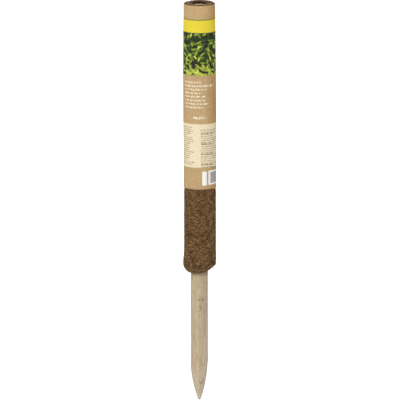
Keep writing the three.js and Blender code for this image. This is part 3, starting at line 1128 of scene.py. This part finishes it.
@dataclass
class Stake:
    """The wooden stake: a round shaft with a cut point that leans, and a sawn top."""

    finish: StakeWood
    segments: int = 96
    point_length: float = 54 * MM
    tip_radius: float = 1.7 * MM
    bulge: float = 1.95 * MM
    point_tilt: float = math.radians(-0.55)
    tilt_fade: float = 12 * MM
    chamfer: float = 0.8 * MM
    tip_ball: float = 2.35 * MM
    tip_round: float = 1.6 * MM
    shown_length: float = 204 * MM
    fine_step: float = 2.5 * MM
    hidden_step: float = 40 * MM
    side_share: float = 0.99  # of the radius, from where a point is on the side
    wave: Waves = Waves(0.16 * MM, 1.6, 26 * MM)
    ridge: Waves = Waves(0.048 * MM, 9.0, 55 * MM)
    calm_radius: float = 6 * MM
    knot_rise: float = 0.35 * MM
    knot_reach: Pair = (4.5 * MM, 6 * MM)
    saw_depth: float = 0.12 * MM
    saw_marks: Pair = (3 * MM, 0.9 * MM)
    saw_seed: float = 4.0
    merge_distance: float = 0.001 * MM
    sharp_angle: float = math.radians(50)
    radius: float = field(init=False)
    top: float = field(init=False)

    def __post_init__(self) -> None:
        """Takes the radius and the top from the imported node."""
        low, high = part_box("wooden_stake")
        self.radius = (high.x - low.x) / 2
        self.top = high.z

    def point_radius(self, z: float) -> float:
        """Radius of the cut point about its own axis: a bulging curve, then straight on.

        Args:
            z: The height.

        Returns:
            The radius there.
        """
        run, length = self.radius - self.tip_radius, self.point_length
        scale = 2 * self.bulge / math.hypot(run, length)
        control_r = self.tip_radius + run / 2 + scale * length
        control_z = length / 2 - scale * run
        bend = length - 2 * control_z
        t = (-control_z + math.sqrt(control_z ** 2 + bend * max(z, 0.0))) / bend
        if t > 1.0:
            slope = (self.radius - control_r) / (length - control_z)
            return self.radius + (z - length) * slope
        return (1 - t) ** 2 * self.tip_radius + 2 * t * (1 - t) * control_r + t * t * self.radius

    def surface_radius(self, angle: float, z: float) -> float:
        """Radius of the stake's surface, with the lean of its point, its knot and its unevenness.

        Args:
            angle: Direction round the axis.
            z: The height.

        Returns:
            The radius there.
        """
        x, y = math.cos(angle), math.sin(angle)
        tilted = 1.0 - smooth_rise(z, self.point_length, self.point_length + self.tilt_fade)
        shift = z * math.tan(self.point_tilt) * tilted
        cut = shift * x + math.sqrt(max(self.point_radius(z) ** 2 - (shift * y) ** 2, 0.0))
        radius = min(self.radius, cut)
        knot_x, knot_z = self.finish.knot_place
        away = math.hypot((radius * x - knot_x) / self.knot_reach[0], (z - knot_z) / self.knot_reach[1])
        rise = self.knot_rise * math.exp(-away ** 2) if y < 0 else 0.0
        calm = min(1.0, radius / self.calm_radius)
        return radius + calm * (self.wave.at(x, y, z) + self.ridge.at(x, y, z)) + rise

    def profile(self) -> list[Pair]:
        """The stake's outline.

        Returns:
            Radius and height of each ring, from the tip to the sawn top.
        """
        rounded = [(self.tip_ball * math.sin(t), self.tip_ball * (1 - math.cos(t)))
                   for t in np.radians((0.0, 15.0, 30.0, 45.0, 60.0))]
        shown = np.arange(self.tip_round, self.shown_length, self.fine_step)
        hidden = np.arange(self.shown_length, self.top - self.hidden_step / 2, self.hidden_step)
        rings = [(self.radius, float(z)) for z in (*shown, *hidden, self.top - self.chamfer)]
        sawn = [(self.radius - self.chamfer, self.top), (self.radius / 2, self.top), (0.0, self.top)]
        return rounded + rings + sawn

    def build(self) -> None:
        """Spins the outline and works the surface over."""
        bm = bmesh.new()
        line = [bm.verts.new((radius, 0.0, z)) for radius, z in self.profile()]
        edges = [bm.edges.new(pair) for pair in zip(line, line[1:])]
        bmesh.ops.spin(bm, geom=[*line, *edges], cent=(0, 0, 0), axis=(0, 0, 1), angle=FULL_TURN,
                       steps=self.segments, use_merge=True)
        bmesh.ops.remove_doubles(bm, verts=bm.verts, dist=self.merge_distance)
        for vert in bm.verts:
            x, y, z = vert.co
            if math.hypot(x, y) > self.side_share * self.radius:
                angle = math.atan2(y, x)
                radius = self.surface_radius(angle, z)
                vert.co.xy = radius * math.cos(angle), radius * math.sin(angle)
            elif z > self.point_length:
                mark = uneven(x / self.saw_marks[0], y / self.saw_marks[1], self.saw_seed)
                vert.co.z += self.saw_depth * mark
        bmesh.ops.recalc_face_normals(bm, faces=bm.faces)
        obj = add_object("stake", mesh_from("stake", bm), self.sharp_angle)
        seat(obj, Body.POLE, Slot.WOOD, [self.finish], "wooden_stake")


@dataclass
class CoirRoll:
    """The felted body of the mat, rolled twice round the stake."""

    finish: CoirMatting
    profile: RollProfile
    spiral: MatSpiral
    around: int = 150
    across: int = 6
    rows: int = 120
    inset: float = 0.3 * MM
    rim: float = 0.8 * MM
    lumps: float = 0.15 * MM
    lump_size: Pair = (5 * MM, 6 * MM)
    step_blend: float = 0.05
    sharp_angle: float = math.radians(60)

    def place(self, share: Vector) -> Vector:
        """Maps a point of a unit block to the roll.

        Args:
            share: How far along the mat, across its thickness and up it the point is.

        Returns:
            The point's place.
        """
        turned = self.spiral.rolled * share.x
        angle = self.spiral.angle(turned)
        inner = self.spiral.inner(turned)
        felt = self.spiral.face(min(turned, FULL_TURN))
        start = self.spiral.last_turn
        last = smooth_rise(turned, start - self.step_blend, start + self.step_blend)

        def radius_at(height: float) -> float:
            """Radius of the point, if it is at a height."""
            outer = last * (self.profile.radius(height) - self.inset) + (1.0 - last) * felt
            return inner + share.y * (outer - inner)

        low = self.profile.end_height(radius_at(self.profile.end_top), angle)
        z = low + (self.profile.top - self.inset - low) * share.z
        radius = radius_at(z)
        x, y = math.cos(angle), math.sin(angle)
        width, height = self.lump_size
        lump = self.lumps * uneven(radius * x / width, radius * y / width, z / height)
        radius += lump * share.y * last
        rounding = self.rim * smooth_rise(abs(share.y - 0.5), 0.2, 0.5) * smooth_rise(share.z, 0.99, 1.0)
        z_out = z - rounding + 0.5 * lump * share.z ** 8
        return Vector((radius * x + self.profile.offset(z), radius * y, z_out))

    def build(self) -> None:
        """Draws a flat block up from a grid and rolls it."""
        bm = bmesh.new()
        bmesh.ops.create_grid(bm, x_segments=self.around, y_segments=self.across, size=0.5)
        raised = bmesh.ops.extrude_face_region(bm, geom=bm.faces[:], use_keep_orig=True)
        top = [item for item in raised["geom"] if isinstance(item, bmesh.types.BMVert)]
        bmesh.ops.translate(bm, vec=(0.0, 0.0, 1.0), verts=top)
        bmesh.ops.subdivide_edges(bm, edges=upright_edges(bm), cuts=self.rows - 1, use_grid_fill=True)
        bmesh.ops.translate(bm, vec=(0.5, 0.5, 0.0), verts=bm.verts)
        for vert in bm.verts:
            vert.co = self.place(vert.co)
        bmesh.ops.recalc_face_normals(bm, faces=bm.faces)
        if bm.calc_volume(signed=True) < 0:
            bmesh.ops.reverse_faces(bm, faces=bm.faces)
        obj = add_object("coir_roll", mesh_from("coir_roll", bm), self.sharp_angle)
        seat(obj, Body.POLE, Slot.COIR, [self.finish], "coir_mat")


@dataclass(frozen=True)
class FibreLayer:
    """One piece of loose strands: how many, where they start and how they stand off, and their shades.

    The start is a range along the outline, and the shade is a mean and a spread.
    """

    name: str
    seed: int
    count: int
    start: Pair
    lift: Pair
    shade: Pair
    scale: float = 1.0
    leave: Optional[Pair] = None


@dataclass
class CoirFibres:
    """The loose fibre that covers the roll: bands of curled strands, curls, stray hairs and the cut top."""

    finish: CoirFibre
    profile: RollProfile
    spiral: MatSpiral
    strands: StrandMaker
    rings: int = 5
    step: float = 2.0 * MM
    stride: Pair = (0.55, 1.35)
    # Slope, waves round the roll, length along the outline, and phase
    felt_waves: Sequence[Sequence[float]] = ((0.25, 2, 15 * MM, 0.0), (0.2, 3, -8 * MM, 1.3))
    scatter: float = 0.34
    curl: Pair = (0.24, 0.2)
    sunk: float = 0.2 * MM
    thickness: Pair = (0.11 * MM, 0.21 * MM)
    taper_start: float = 0.12
    lock: int = 2
    lock_spread: float = 0.16 * MM
    lock_turn: float = 0.07
    lock_shade: float = 0.07
    band_seed: int = 30
    per_piece: int = 7500
    bare_pieces: int = 3
    covered_pieces: int = 2
    under_sleeve: float = 6 * MM
    curl_count: int = 900
    hair_count: int = 260
    top_count: int = 1800
    top_seed: int = 91
    top_least: float = 0.12  # of the way out across the mat, where a strand starts
    top_length: Pair = (3 * MM, 11 * MM)
    top_radius: float = 18 * MM
    top_standing: Pair = (0.1 * MM, 1.3 * MM)
    top_calm: Pair = (1.5 * MM, 5 * MM)
    top_sunk: float = 0.45 * MM
    top_back: float = 0.4 * MM
    top_wander: float = 0.22
    top_stray: float = 1.9
    top_shade: Pair = (0.42, 0.22)
    front_lighter: float = 0.2
    lip_share: float = 0.4
    end_samples: int = 160
    side_samples: int = 900

    def __post_init__(self) -> None:
        """Measures the roll's outline from the stake, round the lower end and up the side."""
        lip = self.profile.bore + self.lip_share * self.profile.end_lip
        rim = np.linspace(lip, self.profile.end_radius, self.end_samples)
        wall = np.linspace(self.profile.end_top, self.profile.top, self.side_samples)[1:]
        self.outline_r = np.concatenate([rim, self.profile.radius(wall)])
        self.outline_z = np.concatenate([self.profile.end_height(rim, math.pi / 2), wall])
        steps = np.hypot(np.diff(self.outline_r), np.diff(self.outline_z))
        self.outline_s = np.concatenate([[0.0], np.cumsum(steps)])
        self.arch = np.sin(np.linspace(0.0, math.pi, self.rings))

    def on_roll(self, along: Array, angle: Array, height: Array) -> tuple[Array, Array]:
        """Places points on the roll.

        Args:
            along: Distance along the outline, up from the stake.
            angle: Direction round the axis.
            height: How far the point stands off the surface.

        Returns:
            The points and the outward direction at each.
        """
        normal_r = np.interp(along, self.outline_s, np.gradient(self.outline_z, self.outline_s))
        normal_z = -np.interp(along, self.outline_s, np.gradient(self.outline_r, self.outline_s))
        length = np.hypot(normal_r, normal_z)
        normal_r, normal_z = normal_r / length, normal_z / length
        radius = np.interp(along, self.outline_s, self.outline_r)
        z = np.interp(along, self.outline_s, self.outline_z)
        on_end = z < self.profile.end_top
        z = np.where(on_end, self.profile.end_height(radius, angle), self.profile.on_wall(z, angle))
        points = self.profile.points(radius + height * normal_r, angle, z + height * normal_z)
        outward = np.stack([normal_r * np.cos(angle), normal_r * np.sin(angle), normal_z], axis=-1)
        return points, outward

    def sweep(self, along: Array, angle: Array) -> Array:
        """Slope of the felt at a place, in radians: neighbours lie alike, most of them near level."""
        return sum(slope * np.sin(count * angle + along / length + phase)
                   for slope, count, length, phase in self.felt_waves)

    def shared(self, values: Array) -> Array:
        """Gives each strand what its lock has."""
        return np.repeat(values, self.lock, axis=0)

    def wander(self, rng: np.random.Generator, layer: FibreLayer) -> tuple[Array, Array]:
        """Lets locks of parallel strands wander over the roll in curls.

        Args:
            rng: The layer's own source of chance.
            layer: What its strands are like.

        Returns:
            The points of each strand and the outward direction at each point.
        """
        each, locks = (layer.count, 1), (layer.count // self.lock, 1)
        stride = self.step * rng.uniform(*self.stride, locks)
        start = rng.uniform(*layer.start, locks)
        turn = rng.uniform(0.0, FULL_TURN, locks)
        heading = self.sweep(start, turn) + rng.normal(0.0, self.scatter, locks)
        curl = rng.normal(0.0, self.curl[0], locks)
        curl = curl + rng.normal(0.0, self.curl[1], (locks[0], self.rings - 1))
        headings = self.shared(heading + np.cumsum(curl, axis=1)) + rng.normal(0.0, self.lock_turn, each)
        rise, drift = (np.cumsum(self.shared(stride) * part, axis=1)
                       for part in (np.sin(headings), np.cos(headings)))
        rise, drift = (np.concatenate([np.zeros(each), part], axis=1) for part in (rise, drift))
        rise += self.shared(start) + rng.normal(0.0, self.lock_spread, each)
        drift += rng.normal(0.0, self.lock_spread, each)
        along = np.clip(rise, 0.0, self.outline_s[-1])
        angle = self.shared(turn) + drift / np.interp(along, self.outline_s, self.outline_r)
        return self.on_roll(along, angle, rng.uniform(*layer.lift, each) * self.arch - self.sunk)

    def shades(self, rng: np.random.Generator, count: int, mean: float, spread: float) -> Array:
        """One shade for each strand, nearly the same all through a lock."""
        shared = self.shared(rng.normal(mean, spread, count // self.lock))
        return np.clip(shared + rng.normal(0.0, self.lock_shade, count), 0.0, 1.0)

    def thicknesses(self, rng: np.random.Generator, count: int, scale: float = 1.0) -> Array:
        """Radius along each strand, finer at both ends."""
        waist = np.sqrt(np.sin(np.linspace(self.taper_start, math.pi - self.taper_start, self.rings)))
        return scale * rng.uniform(*self.thickness, (count, 1)) * waist

    def finish_piece(self, name: str, paths: Array, outward: Array, radii: Array, shades: Array) -> None:
        """Builds one piece of strands and seats it on the pole."""
        obj = self.strands.build(name, paths, outward, radii, shades)
        seat(obj, Body.POLE, Slot.COIR, [self.finish])

    def layers(self) -> list[FibreLayer]:
        """The pieces on the roll's side.

        Returns:
            The bands from the lower end up, the curls and the hairs that stand off the bare part.
        """
        end = self.outline_s[-1]
        bare = end - (self.profile.top - self.profile.sleeve_bottom)
        limits = [*np.linspace(0.0, bare + self.under_sleeve, self.bare_pieces + 1),
                  *np.linspace(bare, end, self.covered_pieces + 1)[1:]]
        bands = [FibreLayer(f"coir_fibres_{index + 1}", self.band_seed + index, self.per_piece, start,
                            lift=(0.25 * MM, 0.75 * MM), shade=(0.43, 0.28))
                 for index, start in enumerate(zip(limits, limits[1:]))]
        curls = FibreLayer("coir_curls", seed=58, count=self.curl_count, start=(4 * MM, bare - 3 * MM),
                           lift=(0.55 * MM, 1.0 * MM), shade=(0.66, 0.17))
        hairs = FibreLayer("coir_hairs", seed=77, count=self.hair_count, start=(0.0, bare - 8 * MM),
                           lift=(0.1 * MM, 0.3 * MM), shade=(0.6, 0.2), scale=0.55,
                           leave=(0.6 * MM, 3.4 * MM))
        return [*bands, curls, hairs]

    def build_layer(self, layer: FibreLayer) -> None:
        """Builds one piece on the roll's side.

        Args:
            layer: What its strands are like.
        """
        rng = np.random.default_rng(layer.seed)
        paths, outward = self.wander(rng, layer)
        if layer.leave:
            away = np.linspace(0.0, 1.0, self.rings)[None, :, None] ** 2
            paths = paths + outward * away * rng.uniform(*layer.leave, (layer.count, 1, 1))
        radii = self.thicknesses(rng, layer.count, layer.scale)
        self.finish_piece(layer.name, paths, outward, radii, self.shades(rng, layer.count, *layer.shade))

    def build_top(self) -> None:
        """Builds the strands that lie along the turns of the mat on its cut top."""
        rng = np.random.default_rng(self.top_seed)
        each = (self.top_count, 1)
        start = rng.uniform(0.0, 1.0, each)
        share = rng.uniform(self.top_least, 1.0, each)
        length = rng.uniform(*self.top_length, each) / self.top_radius
        along = np.linspace(0.0, 1.0, self.rings)[None, :]
        turned = start * (self.spiral.rolled - length) + along * length
        inner = self.spiral.inner(turned)
        rim = self.profile.radius(self.profile.top)
        face = np.where(turned > self.spiral.last_turn, rim, self.spiral.face(turned))
        angle = self.spiral.angle(turned)
        right, back = np.cos(angle), np.sin(angle)
        stray = rng.uniform(0.0, self.top_stray, each) * np.abs(right) * (0.75 - 0.25 * right)
        share = share + rng.normal(0.0, self.top_wander, each) * along - stray * along ** 2
        radius = inner + np.clip(share, -1.0, 1.0) * (face - inner)
        standing = rng.uniform(*self.top_standing, each) * self.arch
        calm = [self.profile.bore + reach for reach in self.top_calm]
        standing *= 0.25 + 0.75 * smooth_rise(radius, *calm)
        z = self.profile.top - self.top_sunk + standing + self.top_back * np.clip(back, 0.0, 1.0)
        paths = self.profile.points(radius, angle, z)
        outward = np.zeros_like(paths)
        outward[..., 2] = 1.0
        shades = self.shades(rng, self.top_count, *self.top_shade)
        # Painted light: strands on the front of the cut top are lighter than those at the back.
        shades = shades + self.front_lighter * np.clip(-back[:, 0], 0.0, 1.0)
        radii = self.thicknesses(rng, self.top_count)
        self.finish_piece("coir_fibres_top", paths, outward, radii, shades)

    def build(self) -> None:
        """Builds the bands, the curls, the hairs and the top."""
        for layer in self.layers():
            self.build_layer(layer)
        self.build_top()


@dataclass
class BindingThread:
    """The fine thread that binds the roll, wound from end to end and knotted off."""

    finish: NylonThread
    profile: RollProfile
    strands: StrandMaker
    turns: int = 21
    steps: int = 44
    radius: float = 0.25 * MM
    stand_off: float = 0.12 * MM
    end_pitch: float = 3 * MM
    opening_turns: Pair = (1.0, 2.0)
    top_margin: float = 9 * MM
    low_margin: float = 5 * MM
    start_angle: float = math.radians(60)
    knot_size: float = 0.75 * MM
    knot_steps: int = 40
    knot_open: float = 0.35
    knot_start: float = 1.2 * MM
    knot_off: float = 0.35 * MM
    knot_weave: float = 0.3 * MM
    tail: float = 5 * MM
    tail_steps: int = 10
    tail_start: float = 2.2 * MM
    tail_drop: float = 1.8 * MM
    tail_off: float = 0.15 * MM

    def winding(self) -> tuple[Array, Array]:
        """Winds the thread, close at both ends and open between them.

        Returns:
            Angle and height of each point along its turns.
        """
        count = self.turns * self.steps
        turn = np.linspace(0.0, self.turns, count + 1)
        low = self.profile.end_top + self.low_margin
        high = self.profile.top - self.top_margin
        open_pitch = (high - low - self.end_pitch * self.turns) / (self.turns - sum(self.opening_turns))
        from_end = np.minimum(turn, self.turns - turn)
        pitch = self.end_pitch + open_pitch * smooth_rise(from_end, *self.opening_turns)
        height = low + np.concatenate([[0.0], np.cumsum((pitch[1:] + pitch[:-1]) / 2)]) * self.turns / count
        return self.start_angle + FULL_TURN * turn, height

    def knot(self, angle: float, height: float, way: float) -> Array:
        """An overhand knot with a short tail.

        Args:
            angle: Direction round the axis where the thread ends.
            height: The height there.
            way: 1 if the thread ends going round with the angle, -1 if against it.

        Returns:
            Angle, height and stand-off of each point, from the thread outwards.
        """
        t = np.linspace(self.knot_open, FULL_TURN - self.knot_open, self.knot_steps)
        across = self.knot_size * (np.sin(t) + 2 * np.sin(2 * t)) / 2
        up = self.knot_size * (np.cos(t) - 2 * np.cos(2 * t)) / 2
        tail = np.linspace(0.2, 1.0, self.tail_steps)
        along = np.concatenate([self.knot_start + across, self.tail_start + self.tail * tail])
        heights = np.concatenate([height + up, height + up[-1] - self.tail_drop * tail ** 2])
        off = np.concatenate([self.knot_off - self.knot_weave * np.sin(3 * t),
                              np.full(self.tail_steps, self.tail_off)])
        return np.stack([angle + way * along / self.profile.radius(height), heights, off], axis=-1)

    def build(self) -> None:
        """Lays the thread in one strand from knot to knot."""
        angles, heights = self.winding()
        lying = np.stack([angles, heights, np.full(len(angles), self.stand_off)], axis=-1)
        lower = self.knot(angles[0], heights[0], -1.0)[::-1]
        upper = self.knot(angles[-1], heights[-1], 1.0)
        angle, z, off = np.concatenate([lower, lying, upper]).T
        path = self.profile.points(self.profile.radius(z) + off, angle, z)[None]
        outward = np.stack([np.cos(angle), np.sin(angle), np.zeros_like(z)], axis=-1)[None]
        radii = np.full(path.shape[:2], self.radius)
        obj = self.strands.build("binding_line", path, outward, radii, np.array([0.5]))
        seat(obj, Body.POLE, Slot.THREAD, [self.finish], "binding_thread")


@dataclass
class PaperSleeve:
    """The printed sleeve: a sheet rolled into a tube, its free edge glued over at the back."""

    outside: PrintedKraft
    inside: KraftPaper
    profile: RollProfile
    around: int = 150
    rows: int = 90
    thickness: float = 0.36 * MM
    layer: float = 0.4 * MM
    stand_off: float = 1.3 * MM
    belly: float = 0.8 * MM
    lap: float = 14 * MM
    lap_ramp: float = 2.5 * MM
    lap_angle: float = math.radians(66)
    front: float = math.radians(270)
    dents: Sequence[Waves] = (Waves(0.3 * MM, 1.1, 60 * MM), Waves(0.1 * MM, 3.0, 22 * MM))
    dent_inset: float = 16 * MM
    rim_dents: float = 0.35
    flare: float = 0.3 * MM
    flare_length: float = 4 * MM
    flare_fineness: float = 2.2
    flare_seed: float = 7.0
    edge_wave: float = 0.5 * MM
    edge_length: float = 30 * MM
    edge_fineness: float = 2.0
    edge_seed: float = 3.0
    rim_drop: float = 0.5 * MM

    def radius(self, z: float) -> float:
        """Radius of the sleeve's inner face at a height."""
        belly = self.belly * math.sin(math.pi * self.profile.up_sleeve(z))
        return self.profile.radius(z) + self.stand_off + belly

    def place(self, turned: float, z: float) -> Vector:
        """Bends a point of the flat sheet round the roll.

        Args:
            turned: The angle from the free edge.
            z: The height.

        Returns:
            The point's place on the middle of the sheet.
        """
        bottom, top = self.profile.sleeve_bottom, self.profile.top
        radius = self.radius(z)
        lap, ramp = self.lap / radius, self.lap_ramp / radius
        angle = self.lap_angle + turned
        x, y = math.cos(angle), math.sin(angle)
        lift = self.layer * (1.0 - smooth_rise(turned, lap, lap + ramp))
        inset = smooth_rise(min(z - bottom, top - z), 0.0, self.dent_inset)
        dents = sum(dent.at(x, y, z) for dent in self.dents) * (self.rim_dents + (1 - self.rim_dents) * inset)
        uneven_rim = uneven(self.flare_fineness * x, self.flare_fineness * y, self.flare_seed)
        flare = self.flare * math.exp((bottom - z) / self.flare_length) * (0.5 + uneven_rim)
        radius += self.thickness / 2 + lift + dents + flare
        low = smooth_rise(z, bottom + self.edge_length, bottom)
        wave = self.edge_wave * low * uneven(self.edge_fineness * x, self.edge_fineness * y, self.edge_seed)
        return Vector((radius * x + self.profile.offset(z), radius * y, z + wave))

    def build(self) -> None:
        """Bends a flat sheet, keeps the distance round it for the print, and gives it thickness."""
        bottom, top = self.profile.sleeve_bottom, self.profile.top - self.rim_drop
        mean = self.radius((bottom + top) / 2) + self.layer
        span = FULL_TURN + self.lap / mean
        bm = bmesh.new()
        bmesh.ops.create_grid(bm, x_segments=self.around, y_segments=self.rows, size=0.5)
        arc = bm.verts.layers.float.new("arc")
        for vert in bm.verts:
            turned = span * (vert.co.x + 0.5)
            vert[arc] = mean * (turned - (self.front - self.lap_angle))
            vert.co = self.place(turned, bottom + (top - bottom) * (vert.co.y + 0.5))
        bm.normal_update()
        obj = add_object("printed_sleeve", mesh_from("printed_sleeve", bm))
        shell = obj.modifiers.new("paper", "SOLIDIFY")
        shell.thickness = self.thickness
        shell.offset = 0.0
        shell.material_offset = 1
        shell.material_offset_rim = 1
        seat(obj, Body.SLEEVE, Slot.PAPER, [self.outside, self.inside], "paper_sleeve")


@dataclass
class Staples:
    """The staples inside the roll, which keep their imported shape."""

    finish: StapleSteel
    prefix: str = "staple_"

    def dress(self) -> None:
        """Gives each staple its steel."""
        for name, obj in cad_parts.items():
            if name.startswith(self.prefix):
                obj.data.materials.clear()
                obj.data.materials.append(self.finish.material)
                LOG.info("%s: dressed in steel", name)


@dataclass
class Studio:
    """A pale floor, soft light and the camera."""

    finish: FloorPaint
    camera_distance: float = 20.0
    camera_elevation: float = math.radians(10.8)
    frame_width: float = 0.59456
    sensor: float = 36.0
    view_end: float = 100.0
    target: Triple = (0.0009, 0.0, 0.30273)
    floor_radius: float = 14.0
    floor_drop: float = 0.6 * MM
    floor_segments: int = 64
    ambient: float = 0.846
    ambient_slant: float = 0.592
    ambient_azimuth: float = math.radians(-15)
    ceiling: float = 0.62
    ceiling_rise: Pair = (0.15, 0.95)
    key_energy: float = 14.0
    key_azimuth: float = math.radians(-25)
    back_energy: float = 15.0
    back_azimuth: float = math.radians(180)
    light_size: float = 1.6
    light_distance: float = 2.6
    light_elevation: float = math.radians(35)

    def aim(self, name: str, data: bpy.types.ID, azimuth: float, elevation: float, distance: float) -> Piece:
        """Puts a camera or a lamp round the target and points it there.

        Args:
            name: The new object's name.
            data: The camera or the lamp.
            azimuth: Its direction round the target, 0 in front and growing to the right.
            elevation: Its angle above the target.
            distance: How far off it is.

        Returns:
            The new object.
        """
        obj = bpy.data.objects.new(name, data)
        level = math.cos(elevation)
        way = Vector((math.sin(azimuth) * level, -math.cos(azimuth) * level, math.sin(elevation)))
        obj.location = Vector(self.target) + distance * way
        obj.rotation_euler = (Vector(self.target) - obj.location).to_track_quat("-Z", "Y").to_euler()
        bpy.context.scene.collection.objects.link(obj)
        return obj

    def build_camera(self) -> None:
        """A long lens at the photograph's angle."""
        data = bpy.data.cameras.new("camera")
        data.sensor_width = self.sensor
        data.lens = self.sensor * self.camera_distance / self.frame_width
        data.clip_end = self.view_end
        camera = self.aim("camera", data, 0.0, self.camera_elevation, self.camera_distance)
        bpy.context.scene.camera = camera

    def build_floor(self) -> None:
        """A round floor just under the tip."""
        bm = bmesh.new()
        bmesh.ops.create_circle(bm, cap_ends=True, segments=self.floor_segments, radius=self.floor_radius)
        bmesh.ops.translate(bm, vec=(0.0, 0.0, -self.floor_drop), verts=bm.verts)
        floor = add_object("floor", mesh_from("floor", bm))
        floor.data.materials.append(self.finish.material)

    def build_lamps(self) -> None:
        """Two large soft lamps, in front and at the back."""
        for name, energy, azimuth in (("key", self.key_energy, self.key_azimuth),
                                      ("back", self.back_energy, self.back_azimuth)):
            data = bpy.data.lights.new(name, "AREA")
            data.energy = energy
            data.size = self.light_size
            self.aim(name, data, azimuth, self.light_elevation, self.light_distance)

    def build_room(self) -> None:
        """A white room that is brighter at the front left than at the back right."""
        world = bpy.data.worlds.new("room")
        world.use_nodes = True
        graph = Graph(world.node_tree)
        way = graph.value("TexCoord", output="Generated")
        bright = (math.sin(self.ambient_azimuth), -math.cos(self.ambient_azimuth), 0.0)
        facing = graph.vector("DOT_PRODUCT", way, bright, output="Value")
        lit = facing * self.ambient_slant + self.ambient
        lit = lit * way.split()[2].rise(*self.ceiling_rise, 1.0, self.ceiling)
        seen = graph.value("LightPath", output="Is Camera Ray")
        strength = lit * (1.0 - seen) + seen
        light = graph.value("Background", {"Color": (1.0, 1.0, 1.0), "Strength": strength})
        graph.add("OutputWorld", {"Surface": light})
        bpy.context.scene.world = world

    def build(self) -> None:
        """Sets the stage."""
        self.build_camera()
        self.build_floor()
        self.build_lamps()
        self.build_room()
        bpy.context.scene.view_settings.view_transform = "Standard"


def main() -> None:
    """Builds the studio and every piece of the pole."""
    logging.basicConfig(level=logging.INFO, format="%(name)s: %(message)s")
    for make in (make_mottle, make_streaks, make_painted_hollow_shade, make_patch, make_word_lines, make_leaf_layer):
        make()
    Studio(FloorPaint()).build()
    profile = RollProfile.from_frame()
    spiral = MatSpiral(profile.bore)
    Stake(StakeWood()).build()
    CoirRoll(CoirMatting(), profile, spiral).build()
    CoirFibres(CoirFibre(), profile, spiral, StrandMaker()).build()
    BindingThread(NylonThread(), profile, StrandMaker(sides=6)).build()
    PaperSleeve(PrintedKraft(), KraftPaper(), profile).build()
    Staples(StapleSteel()).dress()


if __name__ == "__main__":
    main()
